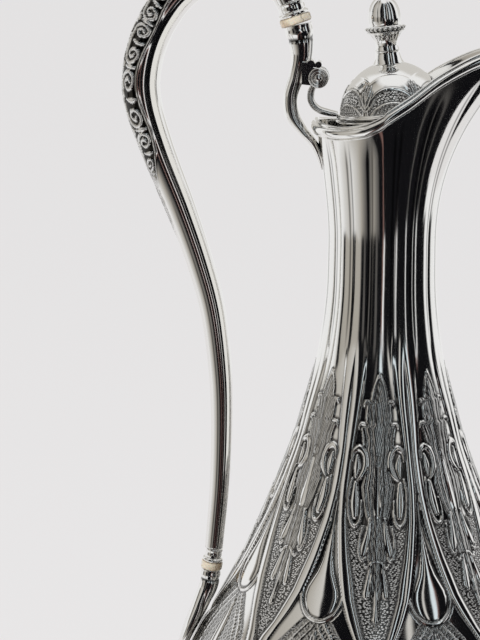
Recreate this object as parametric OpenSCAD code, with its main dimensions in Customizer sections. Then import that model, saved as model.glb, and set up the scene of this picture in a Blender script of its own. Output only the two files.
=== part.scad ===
// Tall lidded silver water pitcher: pear-shaped body on a spun foot, trumpet
// neck with a beak spout, hinged domed lid with a bud finial, and a tall hollow
// scroll handle held off the body by two bone heat breaks.
// The origin is the centre of the foot's resting face. +Z is up, the spout
// points along +X and the handle stands on -X. Millimetres.

/* [Body] */
// Greatest radius of the bowl
bowl_r = 80; // [76:1:82]
// Thickness of the sheet silver
wall = 1.1; // [0.9:0.1:1.4]
// Height where the bowl is soldered to the neck
neck_joint_z = 202; // [202:1:202]
// Radius of the neck at its narrowest
neck_r = 20; // [19.5:0.1:20.5]

/* [Foot] */
// Radius of the foot's resting wire
foot_r = 46; // [42:1:50]
// Height of the top of the foot
foot_h = 25; // [25:1:25]

/* [Mouth] */
// How far the beak reaches from the axis
spout_reach = 52; // [48:1:54]
// How far the mouth reaches behind the axis
mouth_back = 24.5; // [24:0.5:25]
// Half the width of the mouth
mouth_half_w = 23.5; // [23:0.5:24]

/* [Lid] */
// Radius of the lid's dome at its edge
lid_r = 18.6; // [18:0.1:18.8]
// Height of the dome above its edge
dome_h = 18.6; // [17:0.1:19]
// Tilt of the lid and its seat, raised at the spout side, in degrees
lid_tilt = 6; // [5:1:7]

/* [Handle] */
// Radius of the upper bone heat break
break_upper_r = 5.5; // [5.3:0.1:5.6]
// Radius of the lower bone heat break
break_lower_r = 3.9; // [3.8:0.1:4.1]

/* [Hinge] */
// Radius of the hinge pin
pin_r = 1.0; // [0.9:0.05:1.1]
// Radial clearance between the pin and the moving knuckle
pin_clear = 0.05; // [0.03:0.01:0.08]
// Outside radius of the knuckles
knuckle_r = 3.4; // [3.2:0.1:3.5]

/* [Hidden] */
$fn = 64;

silver = "silver";
bone = "cornsilk";

// The bowl and neck in half section, as [radius, height] from foot to mouth
bowl_knots = [[15, 28], [20, 29], [45, 36], [70, 55], [bowl_r, 80], [bowl_r - 11, 109],
              [50, 145], [34, 184], [28.4, neck_joint_z]];
neck_knots = [[34, 184], [28.4, neck_joint_z], [23.4, 221], [neck_r + 0.6, 241], [neck_r, 260], [neck_r, 278]];
neck_flare_z = 260;      // above this the neck opens into the mouth
flare_power = 2.5;       // how late the flare opens

// Height of the mouth's edge by the angle from the spout
mouth_heights = [[-30, 328], [0, 329], [30, 328], [45, 325.5], [60, 319.5], [75, 311], [90, 305.5],
                 [105, 302.5], [130, 301], [155, 301.6], [180, 302.5], [205, 301.6]];
rim_w = 1.7;             // half the rim moulding's width
rim_h = 2.4;             // half the rim moulding's height

// The lid's base centre, and the plate that it rests on
lid_pos = [3, 0, 306.3];
seat_t = 1.2;
seat_r = 22.8;
seat_offset = -2.4;      // the ledge is centred on the mouth, behind the lid
seat_hole_r = 17.3;
seat_front = 7;          // the ledge stops here, short of the spout
seat_gap = 0.35;         // air between the lid's edge and the seat
flange_r = 16;
flange_depth = 2;

// The hinge's pin
hinge_pos = [-22.9, 0, 318.8];
lid_knuckle_half = 1.9;
knuckle_gap = 0.35;
knuckle_end = 5;
pin_head_r = 1.6;
pin_head_t = 0.8;
arm_half_w = 3.4;

// The handle's centre line as [x, z], from the upper ferrule round to the lower
handle_knots = [[-33.4, 344.6], [-36.5, 350], [-43, 354.6], [-52, 356.2], [-63, 353.6], [-73, 346.5],
                [-81, 334.5], [-85, 321], [-84.6, 309], [-79.5, 292.5], [-71.5, 272], [-65, 253], [-60.3, 235],
                [-57.8, 214], [-57.2, 195], [-58, 170], [-60.2, 145.5]];
// Half the handle's width at the same places
handle_half = [4.9, 5.6, 6.1, 6.3, 6.6, 6.9, 7, 7, 6.8, 6.1, 5.5, 5.1, 4.8, 4.5, 4.2, 3.9, 3.6];
handle_steps = 3;
handle_sides = 16;
handle_wall = 1.2;

// The heat breaks: where each one's middle is, how it leans, and its sizes
break_upper_pos = [-31.2, 0, 338.4];
break_upper_lean = 18;
break_upper_t = 2.8;
break_lower_pos = [-61, 0, 138.6];
break_lower_lean = -9;
break_lower_t = 3;
spigot_len = 5;
spigot_share = 0.5;      // of the heat break's radius
spigot_clear = 0.05;
cross_pin_r = 0.6;
cross_pin_out = 0.35;    // how far a cross pin stands out of its collar
collar_len = 5;
pin_offset = 2.6;        // from a collar's end to its cross pin

// The sockets' centre lines as [x, z], with half their thickness and width
socket_upper_knots = [[-30.35, 336.9], [-29.4, 332], [-29, 326], [-30.6, 319], [-32.7, 312], [-32, 305.5],
                      [-28.6, 300.4], [-25, 296.4], [-22.6, 291.5], [-21.4, 286.5]];
socket_upper_half = [[5.1, 5.1], [4.7, 4.6], [3.9, 4], [3.1, 3.6], [2.8, 3.8], [2.8, 4.2],
                     [2.2, 4.6], [1.9, 4.6], [1.5, 3.4], [0.6, 1]];
socket_lower_knots = [[-61.25, 137.1], [-62.2, 130.5], [-65.5, 122.6], [-69.3, 114.2], [-72, 107.2], [-74.2, 99.5]];
socket_lower_half = [[3.8, 3.8], [3.7, 4], [3.2, 5.6], [2.6, 6.6], [2, 5.4], [0.7, 1.4]];
socket_steps = 3;
socket_sides = 16;

// ---- Shape functions -------------------------------------------------------

// Value at t between p1 and p2 of the smooth curve through four neighbours
function smooth_at(p0, p1, p2, p3, t) =
    0.5 * (2 * p1 + (p2 - p0) * t + (2 * p0 - 5 * p1 + 4 * p2 - p3) * t * t
           + (3 * p1 - p0 - 3 * p2 + p3) * t * t * t);

// The knots with `steps` smooth stretches between each pair
function smooth(knots, steps) = let (last = len(knots) - 1) concat(
    [for (i = [0 : last - 1], j = [0 : steps - 1])
        smooth_at(knots[max(i - 1, 0)], knots[i], knots[i + 1], knots[min(i + 2, last)], j / steps)],
    [knots[last]]);

// Outward normals of an open curve of [x, y] points, turned left of its run
function normals(line) = let (last = len(line) - 1) [for (i = [0 : last])
    let (d = line[min(i + 1, last)] - line[max(i - 1, 0)]) [-d[1], d[0]] / norm(d)];

// The curve moved sideways by a distance
function shifted(line, by) = let (n = normals(line)) [for (i = [0 : len(line) - 1]) line[i] + n[i] * by];

// A closed ring of points moved outwards in plan by a distance
function ring_shifted(ring, by) = let (n = len(ring)) [for (i = [0 : n - 1])
    let (d = ring[(i + 1) % n] - ring[(i + n - 1) % n], flat = norm([d[0], d[1]]))
    ring[i] + [d[1], -d[0], 0] / flat * by];

// Rounded-square cross section: one point at an angle, for given half sizes
function squircle(angle, a, b) = let (c = cos(angle), s = sin(angle), k = pow(pow(abs(c), 3) + pow(abs(s), 3), -1 / 3))
    [a * c * k, b * s * k];

// Rings of a bar swept along [x, z] points; each half is [thickness, width]
function bar_rings(line, halves, sides, inset) = let (n = normals(line)) [for (i = [0 : len(line) - 1])
    [for (j = [0 : sides - 1]) let (q = squircle(360 * j / sides, halves[i][0] - inset, halves[i][1] - inset))
        [line[i][0] + n[i][0] * q[0], q[1], line[i][1] + n[i][1] * q[0]]]];

// Where the mouth's edge runs, by the angle from the spout
function mouth_height(angle) = let (folded = angle > 180 ? 360 - angle : angle,
    i = search_step(folded, 1), a = mouth_heights[i], b = mouth_heights[i + 1])
    smooth_at(mouth_heights[i - 1][1], a[1], b[1], mouth_heights[i + 2][1], (folded - a[0]) / (b[0] - a[0]));
function search_step(angle, i) = (i >= len(mouth_heights) - 3 || angle < mouth_heights[i + 1][0]) ? i
    : search_step(angle, i + 1);
function mouth_point(angle) = let (c = cos(angle), s = sin(angle))
    [c > 0 ? spout_reach * pow(c, 1.4) : mouth_back * c, mouth_half_w * s * (c > 0 ? 1 - 0.45 * c * c : 1),
     mouth_height(angle)];

// One ring of the neck: round at share 0, the mouth's outline at share 1
function flare_ring(share, sides) = [for (j = [0 : sides - 1])
    let (angle = 360 * j / sides, m = mouth_point(angle), open = pow(share, flare_power),
         r = [neck_r * cos(angle), neck_r * sin(angle)])
    [r[0] + (m[0] - r[0]) * open, r[1] + (m[1] - r[1]) * open,
     neck_flare_z + (m[2] - neck_flare_z) * share]];
function round_ring(r, z, sides) = [for (j = [0 : sides - 1]) [r * cos(360 * j / sides), r * sin(360 * j / sides), z]];

// ---- Builders --------------------------------------------------------------

// Closed skin over a stack of rings that run anticlockwise; looped joins the
// last ring back to the first, otherwise both ends are capped
module skin(rings, looped) {
    n = len(rings);
    m = len(rings[0]);
    flat = [for (r = rings) each r];
    even = [for (p = rings[0]) 1 / m];
    ends = looped ? [] : [even * rings[0], even * rings[n - 1]];
    points = concat(flat, ends);
    walls = [for (i = [0 : n - (looped ? 1 : 2)], j = [0 : m - 1])
        let (a = i * m + j, b = i * m + (j + 1) % m, c = ((i + 1) % n) * m + (j + 1) % m, d = ((i + 1) % n) * m + j)
        each [[a, c, b], [a, d, c]]];
    caps = looped ? [] : concat([for (j = [0 : m - 1]) [n * m, j, (j + 1) % m]],
        [for (j = [0 : m - 1]) [n * m + 1, (n - 1) * m + (j + 1) % m, (n - 1) * m + j]]);
    polyhedron(points = points, faces = concat(walls, caps), convexity = 8);
}

// Turned shell: an outer curve of [radius, height] points and its inner face
module turned_shell(line, thickness) {
    inner = shifted(line, thickness);
    rotate_extrude() polygon(concat(line, [for (i = [len(inner) - 1 : -1 : 0]) inner[i]]));
}

// Ring of round section
module wire_ring(radius, wire_r, z) {
    translate([0, 0, z]) rotate_extrude() translate([radius, 0]) circle(r = wire_r, $fn = 24);
}

// Places children in the lid's own frame, with its edge plane at z = 0
module on_lid() {
    translate(lid_pos) rotate([0, -lid_tilt, 0]) children();
}

// Places children on a heat break's axis, with its middle at z = 0
module on_break(pos, lean) {
    translate(pos) rotate([0, -lean, 0]) children();
}

// Cross hole or cross pin along Y at a height on a heat break's axis
module cross_bar(r, z, half_len) {
    translate([0, 0, z]) rotate([90, 0, 0]) cylinder(r = r, h = 2 * half_len, center = true, $fn = 24);
}

// ---- Foot ------------------------------------------------------------------

module foot_ring() color(silver) {
    // flat-bottomed reeded wire that the pitcher stands on
    rotate_extrude() polygon([[foot_r - 2.6, 0], [foot_r + 1.6, 0], [foot_r + 2.2, 0.9], [foot_r + 2.2, 2.2],
        [foot_r + 1.3, 3.2], [foot_r + 1.1, 4.4], [foot_r - 1.4, 4.4], [foot_r - 2.6, 3.2]]);
}

module foot_dome() color(silver) {
    // spun dome rising in an ogee from the foot's wire to the knop
    line = smooth([[foot_r, 4.5], [foot_r - 4, 8.2], [foot_r - 13, 11], [foot_r - 21, 15], [18.4, 20],
                   [16.6, foot_h - 0.4]], 4);
    turned_shell(line, wall);
}

module foot_knop() color(silver) {
    // turned collar between the foot and the bowl
    rotate_extrude() polygon(concat([[13.4, foot_h], [16.2, foot_h]],
        [for (a = [-80 : 20 : 80]) [16.2 + 1.6 * cos(a), foot_h + 1.9 + 1.9 * sin(a)]],
        [[16.2, foot_h + 3.8], [13.4, foot_h + 3.8]]));
}

// ---- Body ------------------------------------------------------------------

module body_bowl() color(silver) {
    line = smooth(bowl_knots, 4);
    outer = concat([[0, bowl_knots[0][1]]], line);
    rotate_extrude() difference() {
        polygon(concat(outer, [[0, neck_joint_z]]));
        polygon(concat([[0, bowl_knots[0][1] + wall]], shifted(line, wall),
            [[line[len(line) - 1][0] - wall, neck_joint_z + 1], [0, neck_joint_z + 1]]));
    }
}

module body_neck() color(silver) {
    sides = 64;
    flare_rings = 9;
    lower = [for (p = smooth(neck_knots, 4)) if (p[1] >= neck_joint_z && p[1] < neck_flare_z) p];
    outer = concat([for (p = lower) round_ring(p[0], p[1], sides)],
        [for (i = [0 : flare_rings]) flare_ring(i / flare_rings, sides)]);
    inner = [for (r = outer) ring_shifted(r, -wall)];
    skin(concat(outer, [for (i = [len(inner) - 1 : -1 : 0]) inner[i]]), true);
}

module mouth_rim() color(silver) {
    // applied moulding round the mouth: a bold roll under a narrow fillet
    sides = 64;
    edge = [for (j = [0 : sides - 1]) mouth_point(360 * j / sides)];
    section = [[0.7, -rim_h], [rim_w, -1.1], [rim_w, 0.3], [1.1, 1.2], [0.9, rim_h - 0.3], [0.2, rim_h],
               [-0.9, rim_h], [-1.1, 0.6], [-1.1, -rim_h]];
    skin([for (s = section) [for (p = ring_shifted(edge, s[0] - wall / 2)) p + [0, 0, s[1]]]], true);
}

module lid_seat() color(silver) {
    // tilted horseshoe ledge soldered inside the mouth, open towards the spout
    on_lid() difference() {
        translate([seat_offset, 0, -seat_gap - seat_t]) cylinder(r = seat_r, h = seat_t);
        translate([0, 0, -seat_gap - seat_t - 1]) cylinder(r = seat_hole_r, h = seat_t + 2);
        translate([seat_front, -seat_r, -seat_gap - seat_t - 1]) cube([seat_r, 2 * seat_r, seat_t + 2]);
    }
}

// ---- Handle ----------------------------------------------------------------

module handle() color(silver) {
    line = smooth(handle_knots, handle_steps);
    halves = [for (h = smooth(handle_half, handle_steps)) [h, h * 0.92]];
    outer = bar_rings(line, halves, handle_sides, 0);
    inner = bar_rings(line, halves, handle_sides, handle_wall);
    skin(concat(outer, [for (i = [len(inner) - 1 : -1 : 0]) inner[i]]), true);
}

// Turned end of the handle: a moulded collar bored for the heat break's spigot
module ferrule(r, t) {
    spigot_r = r * spigot_share + spigot_clear;
    start = t / 2 + 0.02;
    difference() {
        rotate_extrude() polygon([[0, start], [r - 0.5, start], [r - 0.1, start + 0.8], [r - 0.5, start + 1.6],
            [r - 0.9, start + 2.4], [r - 0.8, start + collar_len], [0, start + collar_len]]);
        translate([0, 0, start - 1]) cylinder(r = spigot_r, h = spigot_len + 1);
        cross_bar(cross_pin_r + 0.02, start + pin_offset, r + 1);
    }
}

module handle_ferrule_upper() color(silver)
    on_break(break_upper_pos, break_upper_lean) ferrule(break_upper_r, break_upper_t);

module handle_ferrule_lower() color(silver)
    on_break(break_lower_pos, break_lower_lean) ferrule(break_lower_r, break_lower_t);

// Bone ring with a spigot each way, drilled for its two cross pins
module heat_break(r, t) {
    start = t / 2 + 0.02;
    difference() {
        union() {
            rotate_extrude() polygon([[0, -t / 2], [r - 0.5, -t / 2], [r, -t / 2 + 0.6], [r, t / 2 - 0.6],
                [r - 0.5, t / 2], [0, t / 2]]);
            translate([0, 0, -start - spigot_len + 0.5]) cylinder(r = r * spigot_share, h = 2 * (start + spigot_len) - 1);
        }
        for (side = [-1, 1]) cross_bar(cross_pin_r + 0.02, side * (start + pin_offset), r + 1);
    }
}

module heat_break_upper() color(bone)
    on_break(break_upper_pos, break_upper_lean) heat_break(break_upper_r, break_upper_t);

module heat_break_lower() color(bone)
    on_break(break_lower_pos, break_lower_lean) heat_break(break_lower_r, break_lower_t);

module heat_break_pins() color(silver) {
    for (side = [-1, 1]) {
        on_break(break_upper_pos, break_upper_lean)
            cross_bar(cross_pin_r, side * (break_upper_t / 2 + 0.02 + pin_offset), break_upper_r + cross_pin_out);
        on_break(break_lower_pos, break_lower_lean)
            cross_bar(cross_pin_r, side * (break_lower_t / 2 + 0.02 + pin_offset), break_lower_r + cross_pin_out);
    }
}

// Curved arm soldered to the body, bored at its top for the heat break's spigot
module socket(knots, halves, pos, lean, r, t) {
    start = t / 2 + 0.02;
    difference() {
        skin(bar_rings(smooth(knots, socket_steps), smooth(halves, socket_steps), socket_sides, 0), false);
        on_break(pos, lean) {
            translate([0, 0, -start - spigot_len]) cylinder(r = r * spigot_share + spigot_clear, h = spigot_len + t);
            translate([0, 0, -start]) cylinder(r = r + 4, h = 8);
            cross_bar(cross_pin_r + 0.02, -start - pin_offset, r + 2);
        }
    }
}

module socket_upper() color(silver)
    socket(socket_upper_knots, socket_upper_half, break_upper_pos, break_upper_lean, break_upper_r, break_upper_t);

module socket_lower() color(silver)
    socket(socket_lower_knots, socket_lower_half, break_lower_pos, break_lower_lean, break_lower_r, break_lower_t);

// ---- Hinge -----------------------------------------------------------------

// Places children on the hinge's axis, along Y
module on_hinge() {
    translate(hinge_pos) rotate([90, 0, 0]) children();
}

module hinge_fixed_leaf() color(silver) {
    // two knuckles on a back plate, under a scalloped crest
    crest_t = 2;
    cheek = knuckle_end - lid_knuckle_half - knuckle_gap;
    difference() {
        union() {
            for (side = [-1, 1]) on_hinge()
                translate([0, 0, side * (knuckle_end - cheek / 2)]) linear_extrude(cheek, center = true) {
                    circle(r = knuckle_r);
                    polygon([[0, knuckle_r - 0.2], [-5.6, knuckle_r + 1], [-5.6, -2.2], [-1.8, -2.6]]);
                }
            on_hinge() linear_extrude(2 * knuckle_end, center = true) {
                polygon([[-5.8, -2.2], [-4.1, -2.2], [-4.1, 4.6], [-5.8, 4.6]]);
                translate([-2.6, knuckle_r + 1.4]) circle(r = 1.3, $fn = 32);
                translate([0, knuckle_r + 1.2]) circle(r = 1.1, $fn = 32);
                polygon([[-5.8, knuckle_r + 0.5], [0, knuckle_r + 0.6], [0, knuckle_r + 1.6],
                         [-5.8, knuckle_r + crest_t]]);
            }
        }
        on_hinge() cylinder(r = pin_r + 0.01, h = 2 * knuckle_end + 2, center = true);
    }
}

module hinge_lid_leaf() color(silver) {
    // middle knuckle with a strap that curls down and forward to the lid's edge
    arm_wide_from = 9;   // the strap widens past this point of its curve
    arm = smooth([[-1.6, -2.4], [-2.7, -5.2], [-2.6, -8.4], [-0.4, -11], [3.6, -12.3], [6.7, -12.7]], 4);
    top = shifted(arm, 1.1);
    bottom = shifted(arm, -1.1);
    difference() {
        union() {
            on_hinge() cylinder(r = knuckle_r, h = 2 * lid_knuckle_half, center = true);
            on_hinge() linear_extrude(2 * lid_knuckle_half, center = true)
                polygon(concat(top, [for (i = [len(bottom) - 1 : -1 : 0]) bottom[i]]));
            on_hinge() linear_extrude(2 * arm_half_w, center = true)
                polygon(concat([for (i = [arm_wide_from : len(top) - 1]) top[i]],
                    [for (i = [len(bottom) - 1 : -1 : arm_wide_from]) bottom[i]]));
        }
        on_hinge() cylinder(r = pin_r + pin_clear, h = 2 * knuckle_end, center = true);
    }
}

module hinge_pin() color(silver) on_hinge() {
    cylinder(r = pin_r, h = 2 * knuckle_end + 0.2, center = true);
    for (side = [-1, 1]) translate([0, 0, side * (knuckle_end + 0.1 + pin_head_t / 2)])
        cylinder(r = pin_head_r, h = pin_head_t, center = true, $fn = 32);
}

// ---- Lid -------------------------------------------------------------------

stud_r = 1.5;
base_z = dome_h + 0.1;
waist_z = base_z + 5.4;
collar_z = base_z + 10.9;
collar_under = 0.8;      // from the collar's middle down to its lower face
bud_z = collar_z + 0.8;
flange_clear = 0.1;      // between the lid's down-turned ring and its dome

module lid_dome() color(silver) {
    shell = [for (a = [0 : 6 : 84]) [lid_r * cos(a), dome_h * sin(a)]];
    on_lid() difference() {
        rotate_extrude() difference() {
            polygon(concat([[0, 0]], shell, [[0, dome_h]]));
            polygon(concat([[0, -1], [lid_r - wall, -1]],
                [for (a = [0 : 6 : 84]) [(lid_r - wall) * cos(a), (dome_h - wall) * sin(a)]], [[0, dome_h - wall]]));
        }
        translate([0, 0, dome_h - 4]) cylinder(r = stud_r + 0.1, h = 6);
    }
}

module lid_flange() color(silver) {
    // down-turned ring that keeps the lid central in its seat
    on_lid() rotate_extrude() polygon([[flange_r - 1, -flange_depth], [flange_r, -flange_depth], [flange_r, 0.02],
        [lid_r - wall - flange_clear, 0.02], [lid_r - wall - flange_clear, 1], [flange_r - 1, 1]]);
}

module lid_edge_wire() color(silver) {
    // moulded wire round the foot of the dome
    on_lid() rotate_extrude() polygon([[lid_r + 0.02, 0], [lid_r + 1, 0], [lid_r + 1.3, 0.5], [lid_r + 1, 1.1],
        [lid_r + 0.6, 1.5], [lid_r + 0.02, 1.7]]);
}

module finial_base() color(silver) {
    // trumpet foot and step ring on the top of the dome
    on_lid() difference() {
        rotate_extrude() polygon(concat([[0, base_z - 1.2], [5.6, base_z - 0.35], [5.2, base_z + 0.3]],
            [for (a = [0 : 15 : 90]) [5.2 - 2 * sin(a), base_z + 0.3 + 2 * (1 - cos(a))]],
            [[4.3, base_z + 2.4], [4.5, base_z + 2.8], [4.2, base_z + 3.3], [0, base_z + 3.3]]));
        translate([0, 0, base_z - 2]) cylinder(r = stud_r, h = 6);
        scale([1, 1, dome_h / lid_r]) sphere(r = lid_r + 0.02);
    }
}

module finial_calyx() color(silver) {
    // waisted cup under the bud
    on_lid() difference() {
        rotate_extrude() polygon(concat([[0, base_z + 3.32], [3.3, base_z + 3.32]],
            smooth([[3.2, waist_z - 1], [3.3, waist_z], [4.3, waist_z + 2.2], [5.8, waist_z + 4], [6.6, collar_z - collar_under - 0.02]], 3),
            [[0, collar_z - collar_under - 0.02]]));
        translate([0, 0, base_z]) cylinder(r = stud_r, h = 9);
    }
}

module finial_collar() color(silver) {
    // beaded ring between the calyx and the bud
    beads = 24;
    on_lid() {
        rotate_extrude() polygon([[0, collar_z - collar_under], [6.7, collar_z - collar_under], [6.7, collar_z + 0.6],
            [0, collar_z + 0.6]]);
        for (i = [0 : beads - 1]) rotate([0, 0, i * 360 / beads]) translate([6.5, 0, collar_z]) sphere(r = 0.75, $fn = 16);
    }
}

module finial_bud() color(silver) {
    bud_r = 6;
    bud_h = 10.2;
    on_lid() rotate_extrude() polygon(concat([[0, bud_z], [bud_r - 0.5, bud_z]],
        [for (a = [0 : 10 : 70]) [bud_r * cos(a), bud_z + 3 + (bud_h - 3) * sin(a)]],
        [[1.4, bud_z + bud_h + 0.1], [0.9, bud_z + bud_h + 0.9], [0, bud_z + bud_h + 1.2]]));
}

module finial_stud() color(silver) {
    // screwed stem from the calyx down through the dome
    on_lid() translate([0, 0, dome_h - 6]) cylinder(r = stud_r, h = 12, $fn = 32);
}

module finial_washer() color(silver) {
    on_lid() translate([0, 0, dome_h - wall - 1.1]) difference() {
        cylinder(r = 3.6, h = 0.7);
        translate([0, 0, -1]) cylinder(r = stud_r, h = 3);
    }
}

module finial_nut() color(silver) {
    on_lid() translate([0, 0, dome_h - wall - 3.3]) difference() {
        cylinder(r = 3.2, h = 2.2, $fn = 6);
        translate([0, 0, -1]) cylinder(r = stud_r, h = 5);
    }
}

foot_ring();
foot_dome();
foot_knop();
body_bowl();
body_neck();
mouth_rim();
lid_seat();
handle();
handle_ferrule_upper();
handle_ferrule_lower();
heat_break_upper();
heat_break_lower();
heat_break_pins();
socket_upper();
socket_lower();
hinge_fixed_leaf();
hinge_lid_leaf();
hinge_pin();
lid_dome();
lid_flange();
lid_edge_wire();
finial_base();
finial_calyx();
finial_collar();
finial_bud();
finial_stud();
finial_washer();
finial_nut();
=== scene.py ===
"""Tall lidded silver water pitcher with a chased body, a scroll handle on bone heat breaks and a hinged lid.

Surfaces are grids of points in millimetres, in the frame that the CAD parts share: spout along +X,
handle on -X, foot on z = 0. They are written to Blender in metres.
"""

import logging
import math
from dataclasses import dataclass, field
from enum import Enum

import bpy
import numpy as np
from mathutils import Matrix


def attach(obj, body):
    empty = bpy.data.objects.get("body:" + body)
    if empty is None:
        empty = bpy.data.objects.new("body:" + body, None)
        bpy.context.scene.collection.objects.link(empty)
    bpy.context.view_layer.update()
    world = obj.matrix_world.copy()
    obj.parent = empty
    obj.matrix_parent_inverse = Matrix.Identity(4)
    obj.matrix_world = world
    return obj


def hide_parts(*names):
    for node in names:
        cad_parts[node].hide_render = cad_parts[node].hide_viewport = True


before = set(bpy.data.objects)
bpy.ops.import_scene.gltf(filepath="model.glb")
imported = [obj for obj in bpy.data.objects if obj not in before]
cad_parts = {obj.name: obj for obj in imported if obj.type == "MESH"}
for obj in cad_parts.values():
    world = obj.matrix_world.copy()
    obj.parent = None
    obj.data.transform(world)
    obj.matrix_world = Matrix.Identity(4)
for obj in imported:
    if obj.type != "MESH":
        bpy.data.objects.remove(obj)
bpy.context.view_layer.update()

MM = 0.001
FINE = 1.0
# Distance across one degree, per unit of radius.
PER_DEGREE = 0.0175
Array = np.ndarray
Socket = bpy.types.NodeSocket
log = logging.getLogger("pitcher")


class Ride(Enum):
    """The moving body that a piece belongs to."""

    JUG = "jug"
    LID = "lid"


class Slot(Enum):
    """The material slots."""

    SILVER = "silver"
    CHASED = "chased_silver"
    BONE = "bone"


class Tone(Enum):
    """How a chased motif is finished."""

    BRIGHT = "bright"
    FROSTED = "frosted"


# ---- Curves ----


def spline(knots: Array, u: Array) -> Array:
    """Smooth curve through knots: at each place, the cubic set by the two knots on either side.

    Args:
        knots: One row of coordinates per knot.
        u: Places along it, 0 at the first knot, 1 at the second and so on.

    Returns:
        One row of coordinates per place.
    """
    last = len(knots) - 1
    i = np.clip(np.floor(u).astype(int), 0, last - 1)
    t = (u - i)[..., None]
    p0, p1, p2, p3 = (knots[np.clip(i + k, 0, last)] for k in (-1, 0, 1, 2))
    return 0.5 * (2 * p1 + (p2 - p0) * t + (2 * p0 - 5 * p1 + 4 * p2 - p3) * t**2
                  + (3 * p1 - p0 - 3 * p2 + p3) * t**3)


def lengths(line: Array) -> Array:
    """Distance run along a line of points, from its first."""
    return np.concatenate([[0], np.cumsum(np.linalg.norm(np.diff(line, axis=0), axis=1))])


def even(knots: Array, count: int) -> Array:
    """Rows evenly spaced along a smooth curve, by the length of its first two coordinates.

    Args:
        knots: One row per knot; further columns, such as widths, are carried along.
        count: How many rows to give.

    Returns:
        Array of count rows.
    """
    knots = np.asarray(knots, float)
    dense = spline(knots, np.linspace(0, len(knots) - 1, 60 * len(knots)))
    run = lengths(dense[:, :2])
    at = np.linspace(0, run[-1], count)
    return np.stack([np.interp(at, run, c) for c in dense.T], -1)


def left_normals(line: Array) -> Array:
    """Unit normals on the left of a run of points in a plane.

    Args:
        line: Points, one row each.

    Returns:
        One unit normal per point.
    """
    d = np.gradient(line[:, :2], axis=0)
    n = np.stack([-d[:, 1], d[:, 0]], -1)
    return n / np.linalg.norm(n, axis=1, keepdims=True)


def circle(count: int) -> Array:
    """Angles evenly round a full turn, from 0."""
    return np.linspace(0, 2 * np.pi, count, endpoint=False)


def step(a: float, b: float, x: Array) -> Array:
    """Smooth rise from 0 where x is a to 1 where it is b."""
    t = np.clip((x - a) / (b - a), 0, 1)
    return t * t * (3 - 2 * t)


def arch(x: Array) -> Array:
    """Round-topped bump: one at 0, nothing beyond 1 on either side."""
    return np.clip(1 - x * x, 0, 1)


def half_round(x: Array) -> Array:
    """Half circle: one at 0, nothing beyond 1 on either side."""
    return np.sqrt(arch(x))


def bell(x: Array, width: float) -> Array:
    """Bell curve: one at 0 and about a third where x is the width."""
    return np.exp(-((x / width) ** 2))


def stroke(x: Array, y: Array, path: tuple) -> tuple[Array, Array]:
    """Distance from points to a curved stroke whose width varies.

    Args:
        x: First coordinate of the points.
        y: Second coordinate of the points.
        path: The stroke's (x, y, half width) knots.

    Returns:
        The distance to the stroke's middle in half widths, and the distance to its edge.
    """
    rows = spline(np.array(path, float), np.linspace(0, len(path) - 1, 4 * (len(path) - 1) + 1))
    share = np.full(x.shape, 9e9)
    edge = np.full(x.shape, 9e9)
    for (ax, ay, aw), (bx, by, bw) in zip(rows[:-1], rows[1:]):
        dx, dy = bx - ax, by - ay
        t = np.clip(((x - ax) * dx + (y - ay) * dy) / (dx * dx + dy * dy), 0, 1)
        d = np.hypot(x - ax - t * dx, y - ay - t * dy)
        w = np.maximum(aw + (bw - aw) * t, 0.05)
        share = np.minimum(share, d / w)
        edge = np.minimum(edge, d - w)
    return share, edge


def blurred(h: Array, reach: int) -> Array:
    """Running mean of a grid that wraps round in its columns.

    Args:
        h: The grid.
        reach: Half the square window's side.

    Returns:
        Grid of the same shape.
    """
    wide = np.pad(h, ((reach, reach), (0, 0)), mode="edge")
    wide = np.pad(wide, ((0, 0), (reach, reach)), mode="wrap")
    total = np.pad(wide.cumsum(0).cumsum(1), ((1, 0), (1, 0)))
    a = 2 * reach + 1
    return (total[a:, a:] - total[:-a, a:] - total[a:, :-a] + total[:-a, :-a]) / (a * a)


# ---- Meshes ----


@dataclass
class Sheet:
    """Grid of points, in mm, with what its material reads at each of them.

    The surface runs through points[row, column]. Columns always join round. Rows either join
    round too, or each end is closed to a middle point.
    """

    points: Array
    ring: bool = False
    marks: dict[str, Array] = field(default_factory=dict)
    normals: Array | None = None

    def faces(self) -> tuple[Array, Array]:
        """Corners of the sheet's faces.

        Returns:
            Four corner numbers per square face, and three per end face.
        """
        rows, cols = self.points.shape[:2]
        i = np.arange(rows if self.ring else rows - 1)[:, None] * cols
        up = (i + cols) % (rows * cols)
        j = np.arange(cols)[None, :]
        k = (j + 1) % cols
        quads = np.stack([i + j, i + k, up + k, up + j], -1).reshape(-1, 4)
        if self.ring:
            return quads, np.zeros((0, 3), int)
        last = (rows - 1) * cols
        low = np.stack([np.full(cols, rows * cols), k[0], j[0]], -1)
        high = np.stack([np.full(cols, rows * cols + 1), last + j[0], last + k[0]], -1)
        return quads, np.concatenate([low, high])

    def with_ends(self, grid: Array) -> Array:
        """Rows of a grid laid end to end, with the two middle points of an open sheet.

        Args:
            grid: Values at [row, column] or [row, column, part].

        Returns:
            One row per vertex.
        """
        parts = 1 if grid.ndim == 2 else grid.shape[2]
        flat = grid.reshape(-1, parts)
        if self.ring:
            return flat
        ends = grid.reshape(*grid.shape[:2], parts)[[0, -1]].mean(1)
        return np.concatenate([flat, ends])


def joined(skin: Sheet, lining: Sheet) -> Sheet:
    """A skin with its lining stacked under it, row on row; only the skin has marks.

    Args:
        skin: The outside.
        lining: The inside, with as many columns, running back.

    Returns:
        One sheet whose last row joins its first.
    """
    rest = len(lining.points)
    marks = {k: np.concatenate([m, np.zeros((rest,) + m.shape[1:])]) for k, m in skin.marks.items()}
    normals = None
    if skin.normals is not None:
        normals = np.concatenate([skin.normals, lining.normals])
    return Sheet(np.concatenate([skin.points, lining.points]), True, marks, normals)


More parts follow.
